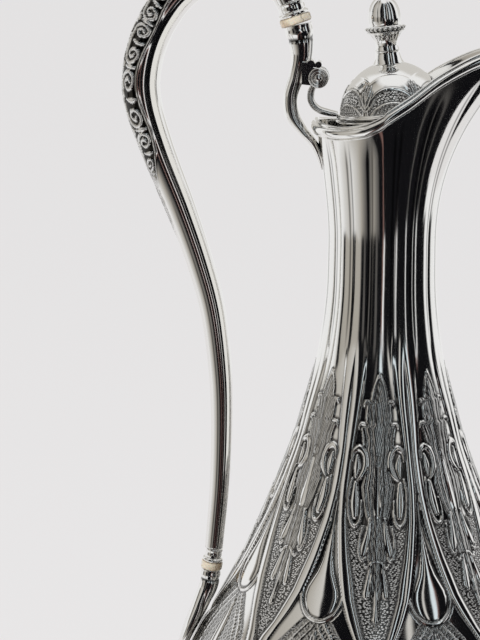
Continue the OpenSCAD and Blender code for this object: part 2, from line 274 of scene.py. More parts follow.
def grid_normals(points: Array) -> Array:
    """Unit normals of a grid whose columns join round, by central differences.

    Args:
        points: Points at [row, column].

    Returns:
        One unit normal per point, outwards where rows run up and columns anticlockwise.
    """
    n = np.cross(np.roll(points, -1, 1) - np.roll(points, 1, 1), np.gradient(points, axis=0))
    return n / np.maximum(np.linalg.norm(n, axis=2, keepdims=True), 1e-12)


@dataclass(frozen=True)
class Maker:
    """Writes sheets as pieces of the object, in the finishes that they share."""

    finishes: dict[Slot, bpy.types.Material]

    def piece(self, name: str, sheet: Sheet, slot: Slot, *nodes: str, ride: Ride = Ride.JUG) -> None:
        """Writes a sheet as a smooth closed mesh and parents it to its body's empty.

        Args:
            name: The piece's name.
            sheet: Its surface.
            slot: The slot for its finish.
            nodes: CAD nodes that aren't shown because this piece shows them.
            ride: The body that it moves with.
        """
        co = sheet.with_ends(sheet.points) * MM
        quads, tris = sheet.faces()
        a, b, c, d = (co[quads[:, k]] for k in range(4))
        volume = (np.cross(a, b) * c).sum() + (np.cross(a, c) * d).sum()
        if len(tris):
            volume += (np.cross(co[tris[:, 0]], co[tris[:, 1]]) * co[tris[:, 2]]).sum()
        if volume < 0:
            quads, tris = quads[:, ::-1], tris[:, ::-1]
        corners = np.concatenate([quads.ravel(), tris.ravel()])
        totals = np.concatenate([np.full(len(quads), 4), np.full(len(tris), 3)])
        mesh = bpy.data.meshes.new(name)
        mesh.vertices.add(len(co))
        mesh.vertices.foreach_set("co", co.astype(np.float32).ravel())
        mesh.loops.add(len(corners))
        mesh.loops.foreach_set("vertex_index", corners.astype(np.int32))
        mesh.polygons.add(len(totals))
        mesh.polygons.foreach_set("loop_start", (np.cumsum(totals) - totals).astype(np.int32))
        mesh.polygons.foreach_set("use_smooth", np.ones(len(totals), bool))
        mesh.update(calc_edges=True)
        for key, grid in sheet.marks.items():
            rows = sheet.with_ends(grid)
            vector = rows.shape[1] == 3
            mark = mesh.attributes.new(key, "FLOAT_VECTOR" if vector else "FLOAT", "POINT")
            mark.data.foreach_set("vector" if vector else "value", rows.astype(np.float32).ravel())
        if sheet.normals is not None:
            mesh.normals_split_custom_set_from_vertices(sheet.with_ends(sheet.normals).tolist())
        mesh.materials.append(self.finishes[slot])
        obj = bpy.data.objects.new(name, mesh)
        bpy.context.scene.collection.objects.link(obj)
        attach(obj, ride.value)
        if nodes:
            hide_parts(*nodes)
        log.info("%s: %d faces", name, 2 * len(quads) + len(tris))

    def dress(self, node: str) -> None:
        """Rounds a CAD part's edges a little and gives it the plain silver finish.

        Args:
            node: The part's node.
        """
        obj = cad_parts[node]
        for slot in obj.material_slots:
            slot.link = "OBJECT"
            slot.material = self.finishes[Slot.SILVER]
        weld = obj.modifiers.new("weld", "WELD")
        weld.merge_threshold = 1e-6
        bevel = obj.modifiers.new("bevel", "BEVEL")
        bevel.width = 0.45 * MM
        bevel.segments = 4
        bevel.limit_method = "ANGLE"
        bevel.angle_limit = math.radians(35)
        bevel.harden_normals = True


def turned(profile: Array, cols: int, lobes: int = 0, depth: Array | float = 0.0) -> Array:
    """Surface turned round the vertical axis, optionally lobed.

    The point at (row, angle) is the profile's radius there, plus depth times a round-topped
    wave with that many lobes, at the profile's height.

    Args:
        profile: (radius, height) rows.
        cols: Points round the axis.
        lobes: Lobes round the axis.
        depth: How far the lobes stand out, per row or for all.

    Returns:
        Points at [row, column].
    """
    angle = circle(cols)[None, :]
    wave = np.abs(np.cos(lobes * angle / 2)) ** 0.8 if lobes else np.zeros_like(angle)
    r = profile[:, :1] + np.reshape(depth, (-1, 1)) * wave
    return np.stack([r * np.cos(angle), r * np.sin(angle), np.broadcast_to(profile[:, 1:2], r.shape)], -1)


def swept(line: Array, section: Array, halves: Array, out: Array | float = 0.0) -> Array:
    """Bar along a path in the XZ plane.

    The point at (row, column) is the path's point, plus the section's first coordinate times
    half the thickness along the path's left normal, and its second times half the width along Y,
    each moved out along the section's own normal by the relief.

    Args:
        line: (x, z) rows.
        section: (across, width) rows of a closed outline about one unit in size.
        halves: (thickness, width) per row of the path.
        out: Relief at [row, column].

    Returns:
        Points at [row, column].
    """
    n = left_normals(line)
    q = section[None] * halves[:, None, :]
    side = np.roll(q, -1, 1) - np.roll(q, 1, 1)
    normal = np.stack([side[..., 1], -side[..., 0]], -1)
    normal /= np.linalg.norm(normal, axis=2, keepdims=True)
    normal *= np.sign((normal * q).sum(2, keepdims=True).mean())
    q = q + normal * np.broadcast_to(out, q.shape[:2])[..., None]
    across = line[:, None, :2] + n[:, None] * q[..., :1]
    return np.stack([across[..., 0], q[..., 1], across[..., 1]], -1)


def outline(cols: int, power: float) -> Array:
    """Unit superellipse: round at power 2, squarer above.

    Args:
        cols: Points round it.
        power: How square it is.

    Returns:
        (across, width) rows.
    """
    c, s = np.cos(circle(cols)), np.sin(circle(cols))
    k = (np.abs(c) ** power + np.abs(s) ** power) ** (-1 / power)
    return np.stack([c * k, s * k], -1)


def tilted(points: Array, degrees: float, pos: tuple) -> Array:
    """Points leant over towards -X about the Y axis, then moved.

    Args:
        points: Points in their own frame, at the origin and upright.
        degrees: How far they lean.
        pos: Where the origin goes.

    Returns:
        Points in the shared frame.
    """
    c, s = math.cos(math.radians(degrees)), math.sin(math.radians(degrees))
    x, y, z = np.moveaxis(points, -1, 0)
    return np.stack([x * c - z * s, y, x * s + z * c], -1) + np.array(pos, float)


# ---- Materials ----


class Graph:
    """Small helper that adds and links shader nodes."""

    def __init__(self, tree: bpy.types.NodeTree) -> None:
        """Starts from an empty tree."""
        self.tree = tree
        tree.nodes.clear()

    def add(self, kind: str, inputs: dict | None = None, **settings) -> bpy.types.Node:
        """Adds a node.

        Args:
            kind: Blender's name for the node type, after ShaderNode.
            inputs: Value or output socket for each input, by name or number.
            settings: Properties of the node.

        Returns:
            The node.
        """
        node = self.tree.nodes.new("ShaderNode" + kind)
        for key, value in settings.items():
            setattr(node, key, value)
        for key, value in (inputs or {}).items():
            if isinstance(value, Socket):
                self.tree.links.new(value, node.inputs[key])
            else:
                node.inputs[key].default_value = value
        return node

    def math(self, operation: str, *values: Socket | float) -> Socket:
        """Result of a math node on numbers or sockets."""
        return self.add("Math", dict(enumerate(values)), operation=operation).outputs[0]

    def times(self, a: Socket | float, b: Socket | float, c: Socket | float = 0.0) -> Socket:
        """Product of a and b, plus c."""
        return self.math("MULTIPLY_ADD", a, b, c)

    def mark(self, name: str) -> Socket:
        """Number stored at each vertex under a name, or 0 where there is none."""
        return self.add("Attribute", attribute_name=name).outputs["Fac"]

    def place(self) -> Socket:
        """Place on the object, in its own coordinates."""
        return self.add("TexCoord").outputs["Object"]

    def noise(self, place: Socket, scale: float, detail: float = 2.0) -> Socket:
        """Cloudy noise from 0 to 1."""
        return self.add("TexNoise", {"Vector": place, "Scale": scale, "Detail": detail}).outputs[0]

    def streaks(self, place: Socket, scale: tuple, detail: float) -> Socket:
        """Noise drawn out along the direction of the smallest scale."""
        return self.noise(self.add("Mapping", {"Vector": place, "Scale": scale}).outputs[0], 1.0, detail)

    def ease(self, value: Socket, start: float, end: float, kind: str = "LINEAR") -> Socket:
        """Rise from 0 where the value is at the start to 1 where it is at the end."""
        inputs = {"Value": value, "From Min": start, "From Max": end}
        return self.add("MapRange", inputs, interpolation_type=kind).outputs[0]

    def mix(self, share: Socket | float, a: Socket | tuple, b: Socket | tuple) -> Socket:
        """Colour that goes from a to b as the share goes from 0 to 1."""
        a, b = (c if isinstance(c, Socket) else (*c, 1.0) for c in (a, b))
        return self.add("Mix", {0: share, 6: a, 7: b}, data_type="RGBA").outputs[2]

    def bump(self, height: Socket, strength: float, distance: float, **base: Socket) -> Socket:
        """Normal bent by a height, on top of the Normal given."""
        inputs = {"Height": height, "Strength": strength, "Distance": distance, **base}
        return self.add("Bump", inputs).outputs[0]

    def ramp(self, value: Socket, stops: tuple) -> Socket:
        """Looks a number up in a row of colours.

        Args:
            value: The number, from 0 to 1.
            stops: (place, colour) pairs.

        Returns:
            The colour.
        """
        node = self.add("ValToRGB", {0: value})
        ends = node.color_ramp.elements
        for k, (place, colour) in enumerate(stops):
            stop = ends[k] if k < 2 else ends.new(place)
            stop.position = place
            stop.color = (*colour, 1.0)
        return node.outputs[0]

    def metal(self, **inputs: Socket | float | tuple) -> bpy.types.Node:
        """Principled shader; words of an input's name are joined by an underscore."""
        return self.add("BsdfPrincipled", {key.replace("_", " "): value for key, value in inputs.items()})

    def surface(self, shader: bpy.types.Node, kind: str = "Material") -> None:
        """Shows a shader as the tree's surface."""
        self.add("Output" + kind, {"Surface": shader.outputs[0]})


def material(name: str) -> tuple[bpy.types.Material, Graph]:
    """New material, and the graph that fills it."""
    made = bpy.data.materials.new(name)
    made.use_nodes = True
    return made, Graph(made.node_tree)


@dataclass(frozen=True)
class SilverFinish:
    """Polished sterling with fine wear, painted shade and tarnish in its recesses and, where marked, chased
    texture.
    """

    name: str
    chased: bool = False
    shine: float = 0.045
    colour: tuple = (0.93, 0.925, 0.91)
    worn: tuple = (0.82, 0.8, 0.76)
    # Near black for the tarnish in the recesses and for the painted shade there.
    tarnish_and_shade: tuple = (0.03, 0.028, 0.026)

    def build(self) -> bpy.types.Material:
        """Makes the material.

        Returns:
            The material.
        """
        made, g = material(self.name)
        place = g.place()
        worn = g.noise(place, 70.0, 3.0)
        scratch = g.streaks(place, (900.0, 900.0, 90.0), 2.0)
        rough = g.times(scratch, 0.03, g.times(worn, 0.07, self.shine))
        colour = g.mix(g.times(worn, 0.25), self.colour, self.worn)
        normal = g.bump(scratch, 0.05, 0.00002)
        metal = 1.0
        if self.chased:
            dark, matt, frost = (g.mark(k) for k in ("dark", "matt", "frost"))
            grain = self.grain(g)
            vein = g.math("SINE", g.times(g.mark("vein"), 7.5))
            pits = g.times(grain, g.times(matt, 0.28))
            normal = g.bump(g.times(vein, g.times(frost, 0.01), pits), 1.0, MM, Normal=normal)
            rough = g.times(matt, 0.12, g.times(frost, 0.14, rough))
            low = g.times(matt, g.math("SUBTRACT", 1.0, grain))
            leafy = g.math("MAXIMUM", g.math("MINIMUM", frost, g.times(frost, -8.0, 7.2)), 0.0)
            cut = g.times(g.times(vein, -0.4, 0.8), leafy)
            # Share of painted shade and tarnish: in the stipple's pits, along the leaf's veins and wherever
            # the dark mark is set.
            shade_and_tarnish = g.math("MAXIMUM", g.times(low, 0.85, g.times(cut, 0.72)), dark)
            colour = g.mix(g.math("MINIMUM", shade_and_tarnish, 0.97), colour, self.tarnish_and_shade)
            tops = g.math("MAXIMUM", g.times(frost, 5.0, -4.0), 0.0)
            tops = g.times(g.times(matt, grain), 0.75, tops)
            metal = g.times(tops, -0.42, 1.0)
        g.surface(g.metal(Base_Color=colour, Metallic=metal, Roughness=rough, Normal=normal))
        return made

    @staticmethod
    def grain(g: Graph) -> Socket:
        """Rows of short punched dashes, from 0 in the pits to 1 on the dashes."""
        arc = g.add("Attribute", attribute_name="arc").outputs["Vector"]
        turn = {"Vector": arc, "Rotation": (0.0, 0.0, 0.35), "Scale": (0.9, 1.75, 1.0)}
        cells = {"Vector": g.add("Mapping", turn).outputs[0], "Scale": 1.0, "Randomness": 0.75}
        near = g.add("TexVoronoi", cells, voronoi_dimensions="2D", feature="F1").outputs["Distance"]
        return g.ease(near, 0.52, 0.25, "SMOOTHSTEP")


@dataclass(frozen=True)
class BoneFinish:
    """Cream bone with fine grain, brown stain from the metal and a hairline crack."""

    name: str = "bone"
    cream: tuple = (0.88, 0.8, 0.66)
    tan: tuple = (0.72, 0.61, 0.44)
    brown: tuple = (0.33, 0.2, 0.09)
    gap: tuple = (0.12, 0.07, 0.03)

    def build(self) -> bpy.types.Material:
        """Makes the material.

        Returns:
            The material.
        """
        made, g = material(self.name)
        place = g.place()
        cloud = g.noise(place, 180.0, 4.0)
        fibre = g.streaks(place, (1500.0, 1500.0, 260.0), 3.0)
        none, full = (0.0, 0.0, 0.0), (1.0, 1.0, 1.0)
        stain = g.ramp(cloud, ((0.0, none), (0.47, none), (0.68, full)))
        colour = g.mix(g.times(fibre, 0.35), self.cream, self.tan)
        colour = g.mix(g.times(stain, 0.75), colour, self.brown)
        colour = g.mix(g.mark("crack"), colour, self.gap)
        g.surface(g.metal(Base_Color=colour, Roughness=0.34, Normal=g.bump(fibre, 0.2, 0.0002),
                          Subsurface_Weight=0.15, Subsurface_Radius=(0.0012, 0.0008, 0.0005)))
        return made


# ---- Chased ornament ----


@dataclass(frozen=True)
class Motif:
    """Raised stroke of the ornament, drawn on one side of a middle line and mirrored."""

    path: tuple
    height: float
    tone: Tone = Tone.BRIGHT


@dataclass(frozen=True)
class PanelArt:
    """Relief of the body, repeated eight times round it.

    Places are given by the angle from the nearest panel's middle, up to half a panel, and by
    height. Widths in the ornament are mm round the body.
    """

    half: float = 22.5
    ground: float = -0.25
    orb: tuple = (145.3, 6.5)
    inner: tuple = ((124, 0.0), (129, 1.6), (134, 4.4), (139.5, 6.4), (145.4, 8.8), (151.6, 10.4),
                    (157.7, 12.5), (164, 14.3), (170, 15.8), (178, 17.0), (192, 17.0), (209, 14.0),
                    (230, 11.0), (260, 9.0))
    outer: tuple = ((120, 3.0), (124, 4.2), (129, 5.6), (133.5, 7.6), (139.3, 11.0), (145, 13.8), (151, 15.9),
                    (157.5, 17.7), (163.6, 19.1), (170, 20.7), (176, 21.7), (182, 22.5))
    diaper: tuple = ((52, 0.0), (65, 9.0), (80, 14.0), (95, 17.0), (110, 18.0), (120, 17.0), (128, 14.0),
                     (133, 10.0), (137, 6.5), (139, 4.0), (140, 0.0))
    drop: tuple = ((137.8, 0.0), (138.6, 3.2), (140.5, 5.2), (143, 6.3), (145.3, 6.5), (147.5, 6.0),
                   (149.8, 4.8), (152.5, 3.3), (156, 2.1), (162, 1.1), (168, 0.0))
    leaf: tuple = ((136, 0.0), (139, 0.9), (144, 0.8), (146, 1.3), (149, 2.6), (153, 2.9), (155.5, 2.2),
                   (158, 3.2), (163, 3.6), (167.5, 2.8), (170, 3.4), (175, 4.8), (181, 5.6), (186, 4.4),
                   (190, 4.4), (193, 5.4), (197, 5.2), (200.4, 6.6), (201.2, 4.1), (205, 3.9), (208.2, 4.9),
                   (209, 2.8), (213, 1.9), (217.5, 0.0))
    stem: tuple = ((56, 0.0), (66, 2.2), (84, 4.4), (104, 4.0), (118, 3.0), (128, 2.2), (136, 0.0))
    motifs: tuple[Motif, ...] = (
        Motif(((9.2, 189.6, 0.5), (8.9, 192.2, 0.8), (6.9, 193.6, 1.1), (5.0, 192.2, 1.15),
               (4.3, 189.4, 1.15), (4.8, 186.6, 1.1), (6.1, 184.4, 0.8), (7.5, 183.0, 0.3)), 0.75),
        Motif(((7.6, 190.8, 0.6), (7.5, 187.6, 1.3), (7.9, 184.4, 0.6)), 0.6),
        Motif(((0.0, 190.8, 1.25), (0.0, 190.2, 1.25)), 0.75, Tone.FROSTED),
        Motif(((0.0, 187.6, 0.6), (0.0, 180.0, 0.9), (0.0, 174.0, 1.35), (0.0, 172.3, 1.2)), 0.75),
        Motif(((9.3, 183.4, 0.4), (10.4, 178.6, 0.5), (10.4, 173.2, 0.55), (9.6, 169.8, 0.6),
               (8.1, 168.3, 0.65), (6.6, 169.6, 0.55), (5.9, 172.6, 0.45), (5.8, 176.5, 0.3)), 0.7),
        Motif(((8.0, 182.0, 0.8), (8.3, 176.0, 1.55), (8.1, 171.8, 1.2)), 0.62),
        Motif(((2.6, 171.0, 0.5), (3.3, 166.0, 1.0), (4.3, 161.6, 1.5), (4.8, 159.6, 1.2)), 0.68),
        Motif(((5.4, 167.8, 0.3), (6.2, 163.6, 0.4), (6.3, 160.0, 0.5), (5.2, 157.7, 0.6),
               (3.9, 158.6, 0.45)), 0.6),
        Motif(((1.9, 157.0, 0.5), (2.6, 152.0, 1.0), (3.3, 147.6, 1.3), (3.4, 146.6, 1.0)), 0.65),
        Motif(((0.6, 157.6, 0.4), (2.2, 156.6, 0.5), (3.6, 155.4, 0.4), (4.4, 156.6, 0.3)), 0.6),
        Motif(((0.0, 149.0, 0.4), (0.0, 143.0, 0.8), (0.0, 139.6, 1.2)), 0.65),
        Motif(((3.4, 209.0, 0.4), (4.8, 209.2, 0.55), (5.3, 208.0, 0.4)), 0.7),
        Motif(((4.6, 201.6, 0.4), (6.5, 201.6, 0.55), (7.1, 200.3, 0.4)), 0.7),
        Motif(((2.7, 209.5, 0.3), (2.2, 212.6, 0.35), (1.1, 215.8, 0.35), (0.0, 218.0, 0.7)), 0.5),
        Motif(((3.9, 208.0, 0.3), (4.4, 204.6, 0.35), (4.2, 202.2, 0.3)), 0.5),
        Motif(((5.9, 200.0, 0.3), (5.4, 196.6, 0.35), (5.4, 194.4, 0.3)), 0.5),
    )

    def neck(self, p: Array) -> Array:
        """Relief of the neck: alternate broad and narrow lobes with sharp creases between them.

        Args:
            p: Angle from the panel's middle, in degrees.

        Returns:
            Height in mm.
        """
        broad = 0.34 * arch(p / 10.0)
        flute = -0.06 + 0.06 * ((p - 12.0) / 2.0) ** 2
        narrow = 0.3 * arch((self.half - p) / 8.5)
        return np.where(p < 10.0, broad, np.where(p < 14.0, flute, narrow)) - 0.1

    def field(self, p: Array, z: Array, r: Array) -> dict[str, Array]:
        """Works out the relief and what the material reads.

        Args:
            p: Angle from the nearest panel's middle, in degrees.
            z: Height of the plain surface, in mm.
            r: Radius of the plain surface, in mm.

        Returns:
            Grids named height, dark, matt, frost, vein and arc.
        """
        s = np.radians(p) * r
        w = np.radians(self.half - p) * r
        per = r * PER_DEGREE
        a, b = (np.interp(z, *zip(*edge)) for edge in (self.inner, self.outer))
        rib_half = np.maximum((b - a) / 2, 0.3)
        rib = 1 - np.minimum(np.abs((p - (a + b) / 2) / rib_half), 1) ** 2.8
        wide = np.clip(np.radians(rib_half) * r / 3.2, 0.3, 1.15)
        inside = step(0.0, 0.25, (a - p) * per)
        height = self.ground * inside + 0.75 * wide * rib
        leaf_w = np.interp(z, *zip(*self.leaf))
        leaf_edge = s - leaf_w
        span = step(135, 138, z) * (a > p)
        body = step(0.25, -0.35, leaf_edge) * step(216.5, 215.0, z) * span
        pillow = 0.3 + 0.3 * np.sqrt(np.clip(1 - s / np.maximum(leaf_w, 0.3), 0, 1))
        fold = 0.2 * bell(s - 0.36 * leaf_w, 0.35) + 0.2 * bell(s - 0.7 * leaf_w, 0.3)
        height = np.where(body > 0, np.maximum(height, self.ground + (pillow - fold) * body), height)
        frost = body * 0.8
        # Painted shade and tarnish just outside the leaf's edge and, below, round each raised stroke.
        dark = 0.75 * bell(leaf_edge - 0.3, 0.28) * step(217, 215.5, z) * span
        for m in self.motifs:
            share, edge = stroke(s, z, m.path)
            on = share < 1
            height = np.where(on, np.maximum(height, self.ground + m.height * half_round(share)), height)
            frost = np.where(on, 0.8 if m.tone is Tone.FROSTED else 0.0, frost)
            dark = np.where(on, dark * 0.1, np.maximum(dark, 0.9 * bell(edge - 0.22, 0.26)))
        matt = inside * (1 - body) * step(169.5, 167.5, z) * (height < self.ground + 0.12)
        matt = matt * step(-0.1, 0.5, (a - p) * per)
        low = self.low(p, z, w)
        second = self.second_row(p, z, w, b, low)
        use = (p > b) & (z < 182)
        lower = step(124.0, 121.0, z)
        art = {"height": height, "dark": dark, "matt": matt, "frost": frost}
        art = {k: np.where(use, second[k], g) * (1 - lower) + low[k] * lower for k, g in art.items()}
        up = step(206.0, 232.0, z)
        height = art["height"] * (1 - up) + self.neck(p) * step(309, 296, z) * up
        # Painted shade and tarnish along the frames' inner edges and in the neck's creases.
        line = 0.7 * bell((p - a) * per, 0.48) * step(122, 126, z) * step(216, 208, z)
        creases = bell((p - 10.0) * per, 0.34) + bell((p - 14.0) * per, 0.3)
        creases = 0.8 * creases * step(222, 240, z) * step(308, 296, z)
        art["height"] = np.clip(height, -0.9, 1.0)
        art["dark"] = np.maximum(art["dark"], np.maximum(line, creases))
        vein = 1.25 * s - 0.2 * z + 0.15 * np.sin(0.4 * z)
        return {**art, "vein": vein, "arc": np.stack([s, z, 0 * s], -1)}

    def second_row(self, p: Array, z: Array, w: Array, b: Array, low: dict[str, Array]) -> dict[str, Array]:
        """Relief between the frames of two neighbouring panels, above their points.

        Args:
            p: Angle from the nearest panel's middle, in degrees.
            z: Height, in mm.
            w: Distance round the body from the line midway between two panels, in mm.
            b: The frame's outer edge, in degrees.
            low: Grids of the row below.

        Returns:
            Grids named height, dark, matt and frost.
        """
        centre, radius = self.orb
        half = np.interp(z, *zip(*self.drop))
        share = np.where(z < centre, np.hypot(w, (z - centre) * 0.867) / radius, w / np.maximum(half, 0.2))
        boss = (0.2 + 1.0 * step(168, 148, z)) * half_round(share) - 0.4
        reach = np.maximum(np.radians(self.half - b) * w / np.maximum(np.radians(self.half - p), 1e-6), 0.3)
        tongue = -0.55 + 0.4 * np.minimum(w / reach, 1) ** 2
        ring = np.hypot(w, z - centre) - 7.7
        rim = np.where(z < 147, 0.55 * arch(ring / 0.75) - 0.25, tongue)
        height = np.where(share < 1, np.maximum(boss, rim), rim)
        # Painted shade and tarnish round the drops' edges and on both sides of the ring.
        lip = bell(w - half - 0.3, 0.35) * step(136, 138, z) * step(170, 158, z)
        dark = 0.85 * np.maximum(lip, bell(ring + 1.0, 0.25) * (z < 147))
        dark = np.maximum(dark, 0.8 * bell(ring - 1.0, 0.25) * (z < 147) * (w < 9))
        below = (ring > 1.1) & (z < 146)
        art = {"height": height, "dark": dark, "matt": 0.0, "frost": 0.0}
        return {name: np.where(below, low[name], grid) for name, grid in art.items()}

    def low(self, p: Array, z: Array, w: Array) -> dict[str, Array]:
        """Relief of the second row of panels and of the lobes under them.

        Args:
            p: Angle from the nearest panel's middle, in degrees.
            z: Height, in mm.
            w: Distance round the body from the line midway between two panels, in mm.

        Returns:
            Grids named height, dark, matt and frost.
        """
        q = self.half - p
        edge = np.interp(z, *zip(*self.diaper))
        mm = np.maximum(w, 0) / np.maximum(q, 1e-6)
        gap = (edge - q) * mm
        panel = (z > 52) * (z < 140)
        inside = step(0.0, 0.4, gap) * panel
        frame_w = np.maximum((self.half - edge) * mm, 0.5)
        border = 0.75 * arch(np.clip((self.half - q) * mm / frame_w * 2 - 1, -1, 1)) * step(126, 116, z)
        height = np.where(inside > 0, -0.3 * inside, border - 0.1)
        stem_w = np.interp(z, *zip(*self.stem))
        stem = half_round(w / np.maximum(stem_w, 0.2))
        height = np.maximum(height, -0.3 + 0.6 * stem * (z > 56) * (z < 136) * (inside > 0))
        arches = (np.abs(gap - 3.4) < 0.45) | (np.abs(gap - 6.6) < 0.35)
        raised = arches & (inside > 0.9) & (w > stem_w + 0.6)
        height = np.where(raised, -0.02, height)
        net = inside * (w > stem_w + 0.3) * (gap > 1.2) * ~raised
        fall, climb = (np.abs(np.mod(w + k * 0.72 * z, 3.0) - 1.5) for k in (-1, 1))
        wires = np.maximum(bell(1.5 - fall, 0.34), bell(1.5 - climb, 0.34))
        cross = np.maximum(wires, bell(np.hypot(fall, climb), 0.5))
        height = height + 0.22 * cross * net
        # Painted shade and tarnish at the panels' edges, between the raised wires and beside the stems.
        dark = np.maximum(0.85 * bell(gap, 0.28) * panel, 0.9 * (1 - cross) * net)
        dark = np.maximum(dark, 0.8 * bell(w - stem_w - 0.3, 0.25) * (inside > 0.5))
        lobes = 0.75 * arch(np.mod(p, 11.25) / 5.625 - 1) * step(64, 44, z) * step(28.5, 34, z)
        height = np.where(z < 64, np.maximum(height * step(50, 60, z), lobes - 0.1), height)
        return {"height": height, "dark": dark, "matt": inside * (gap <= 1.2) * (w > stem_w + 0.3),
                "frost": 0.95 * cross * net}


# ---- Body ----


@dataclass(frozen=True)
class Mouth:
    """Outline of the mouth by the angle from the spout, in mm."""

    reach: float = 52.0
    back: float = 24.5
    half_w: float = 23.5
    heights: tuple = ((-30, 328), (0, 329), (30, 328), (45, 325.5), (60, 319.5), (75, 311), (90, 305.5),
                      (105, 302.5), (130, 301), (155, 301.6), (180, 302.5), (205, 301.6))

    def edge(self, angle: Array) -> Array:
        """Points of the mouth's edge.

        Args:
            angle: Angles from the spout, in radians.

        Returns:
            One point per angle.
        """
        c, s = np.cos(angle), np.sin(angle)
        at, heights = np.array(self.heights, float).T
        turn = np.degrees(np.arccos(np.clip(c, -1, 1)))
        z = spline(heights[:, None], np.interp(turn, at, np.arange(len(at))))[..., 0]
        x = np.where(c > 0, self.reach * np.abs(c) ** 1.4, self.back * c)
        y = self.half_w * s * np.where(c > 0, 1 - 0.45 * c * c, 1)
        return np.stack([x, y, z], -1)

    def ring(self, angle: Array, out: Array, up: Array) -> Array:
        """Points beside the mouth's edge.

        Args:
            angle: Angles from the spout, in radians, evenly round.
            out: Distance outwards in plan, per row.
            up: Distance up, per row.

        Returns:
            Points at [row, column].
        """
        edge = self.edge(angle)
        d = np.roll(edge, -1, 0) - np.roll(edge, 1, 0)
        n = np.stack([d[:, 1], -d[:, 0], 0 * d[:, 0]], -1)
        n /= np.linalg.norm(n, axis=1, keepdims=True)
        return edge[None] + n[None] * out[:, None, None] + np.array([0, 0, 1.0]) * up[:, None, None]


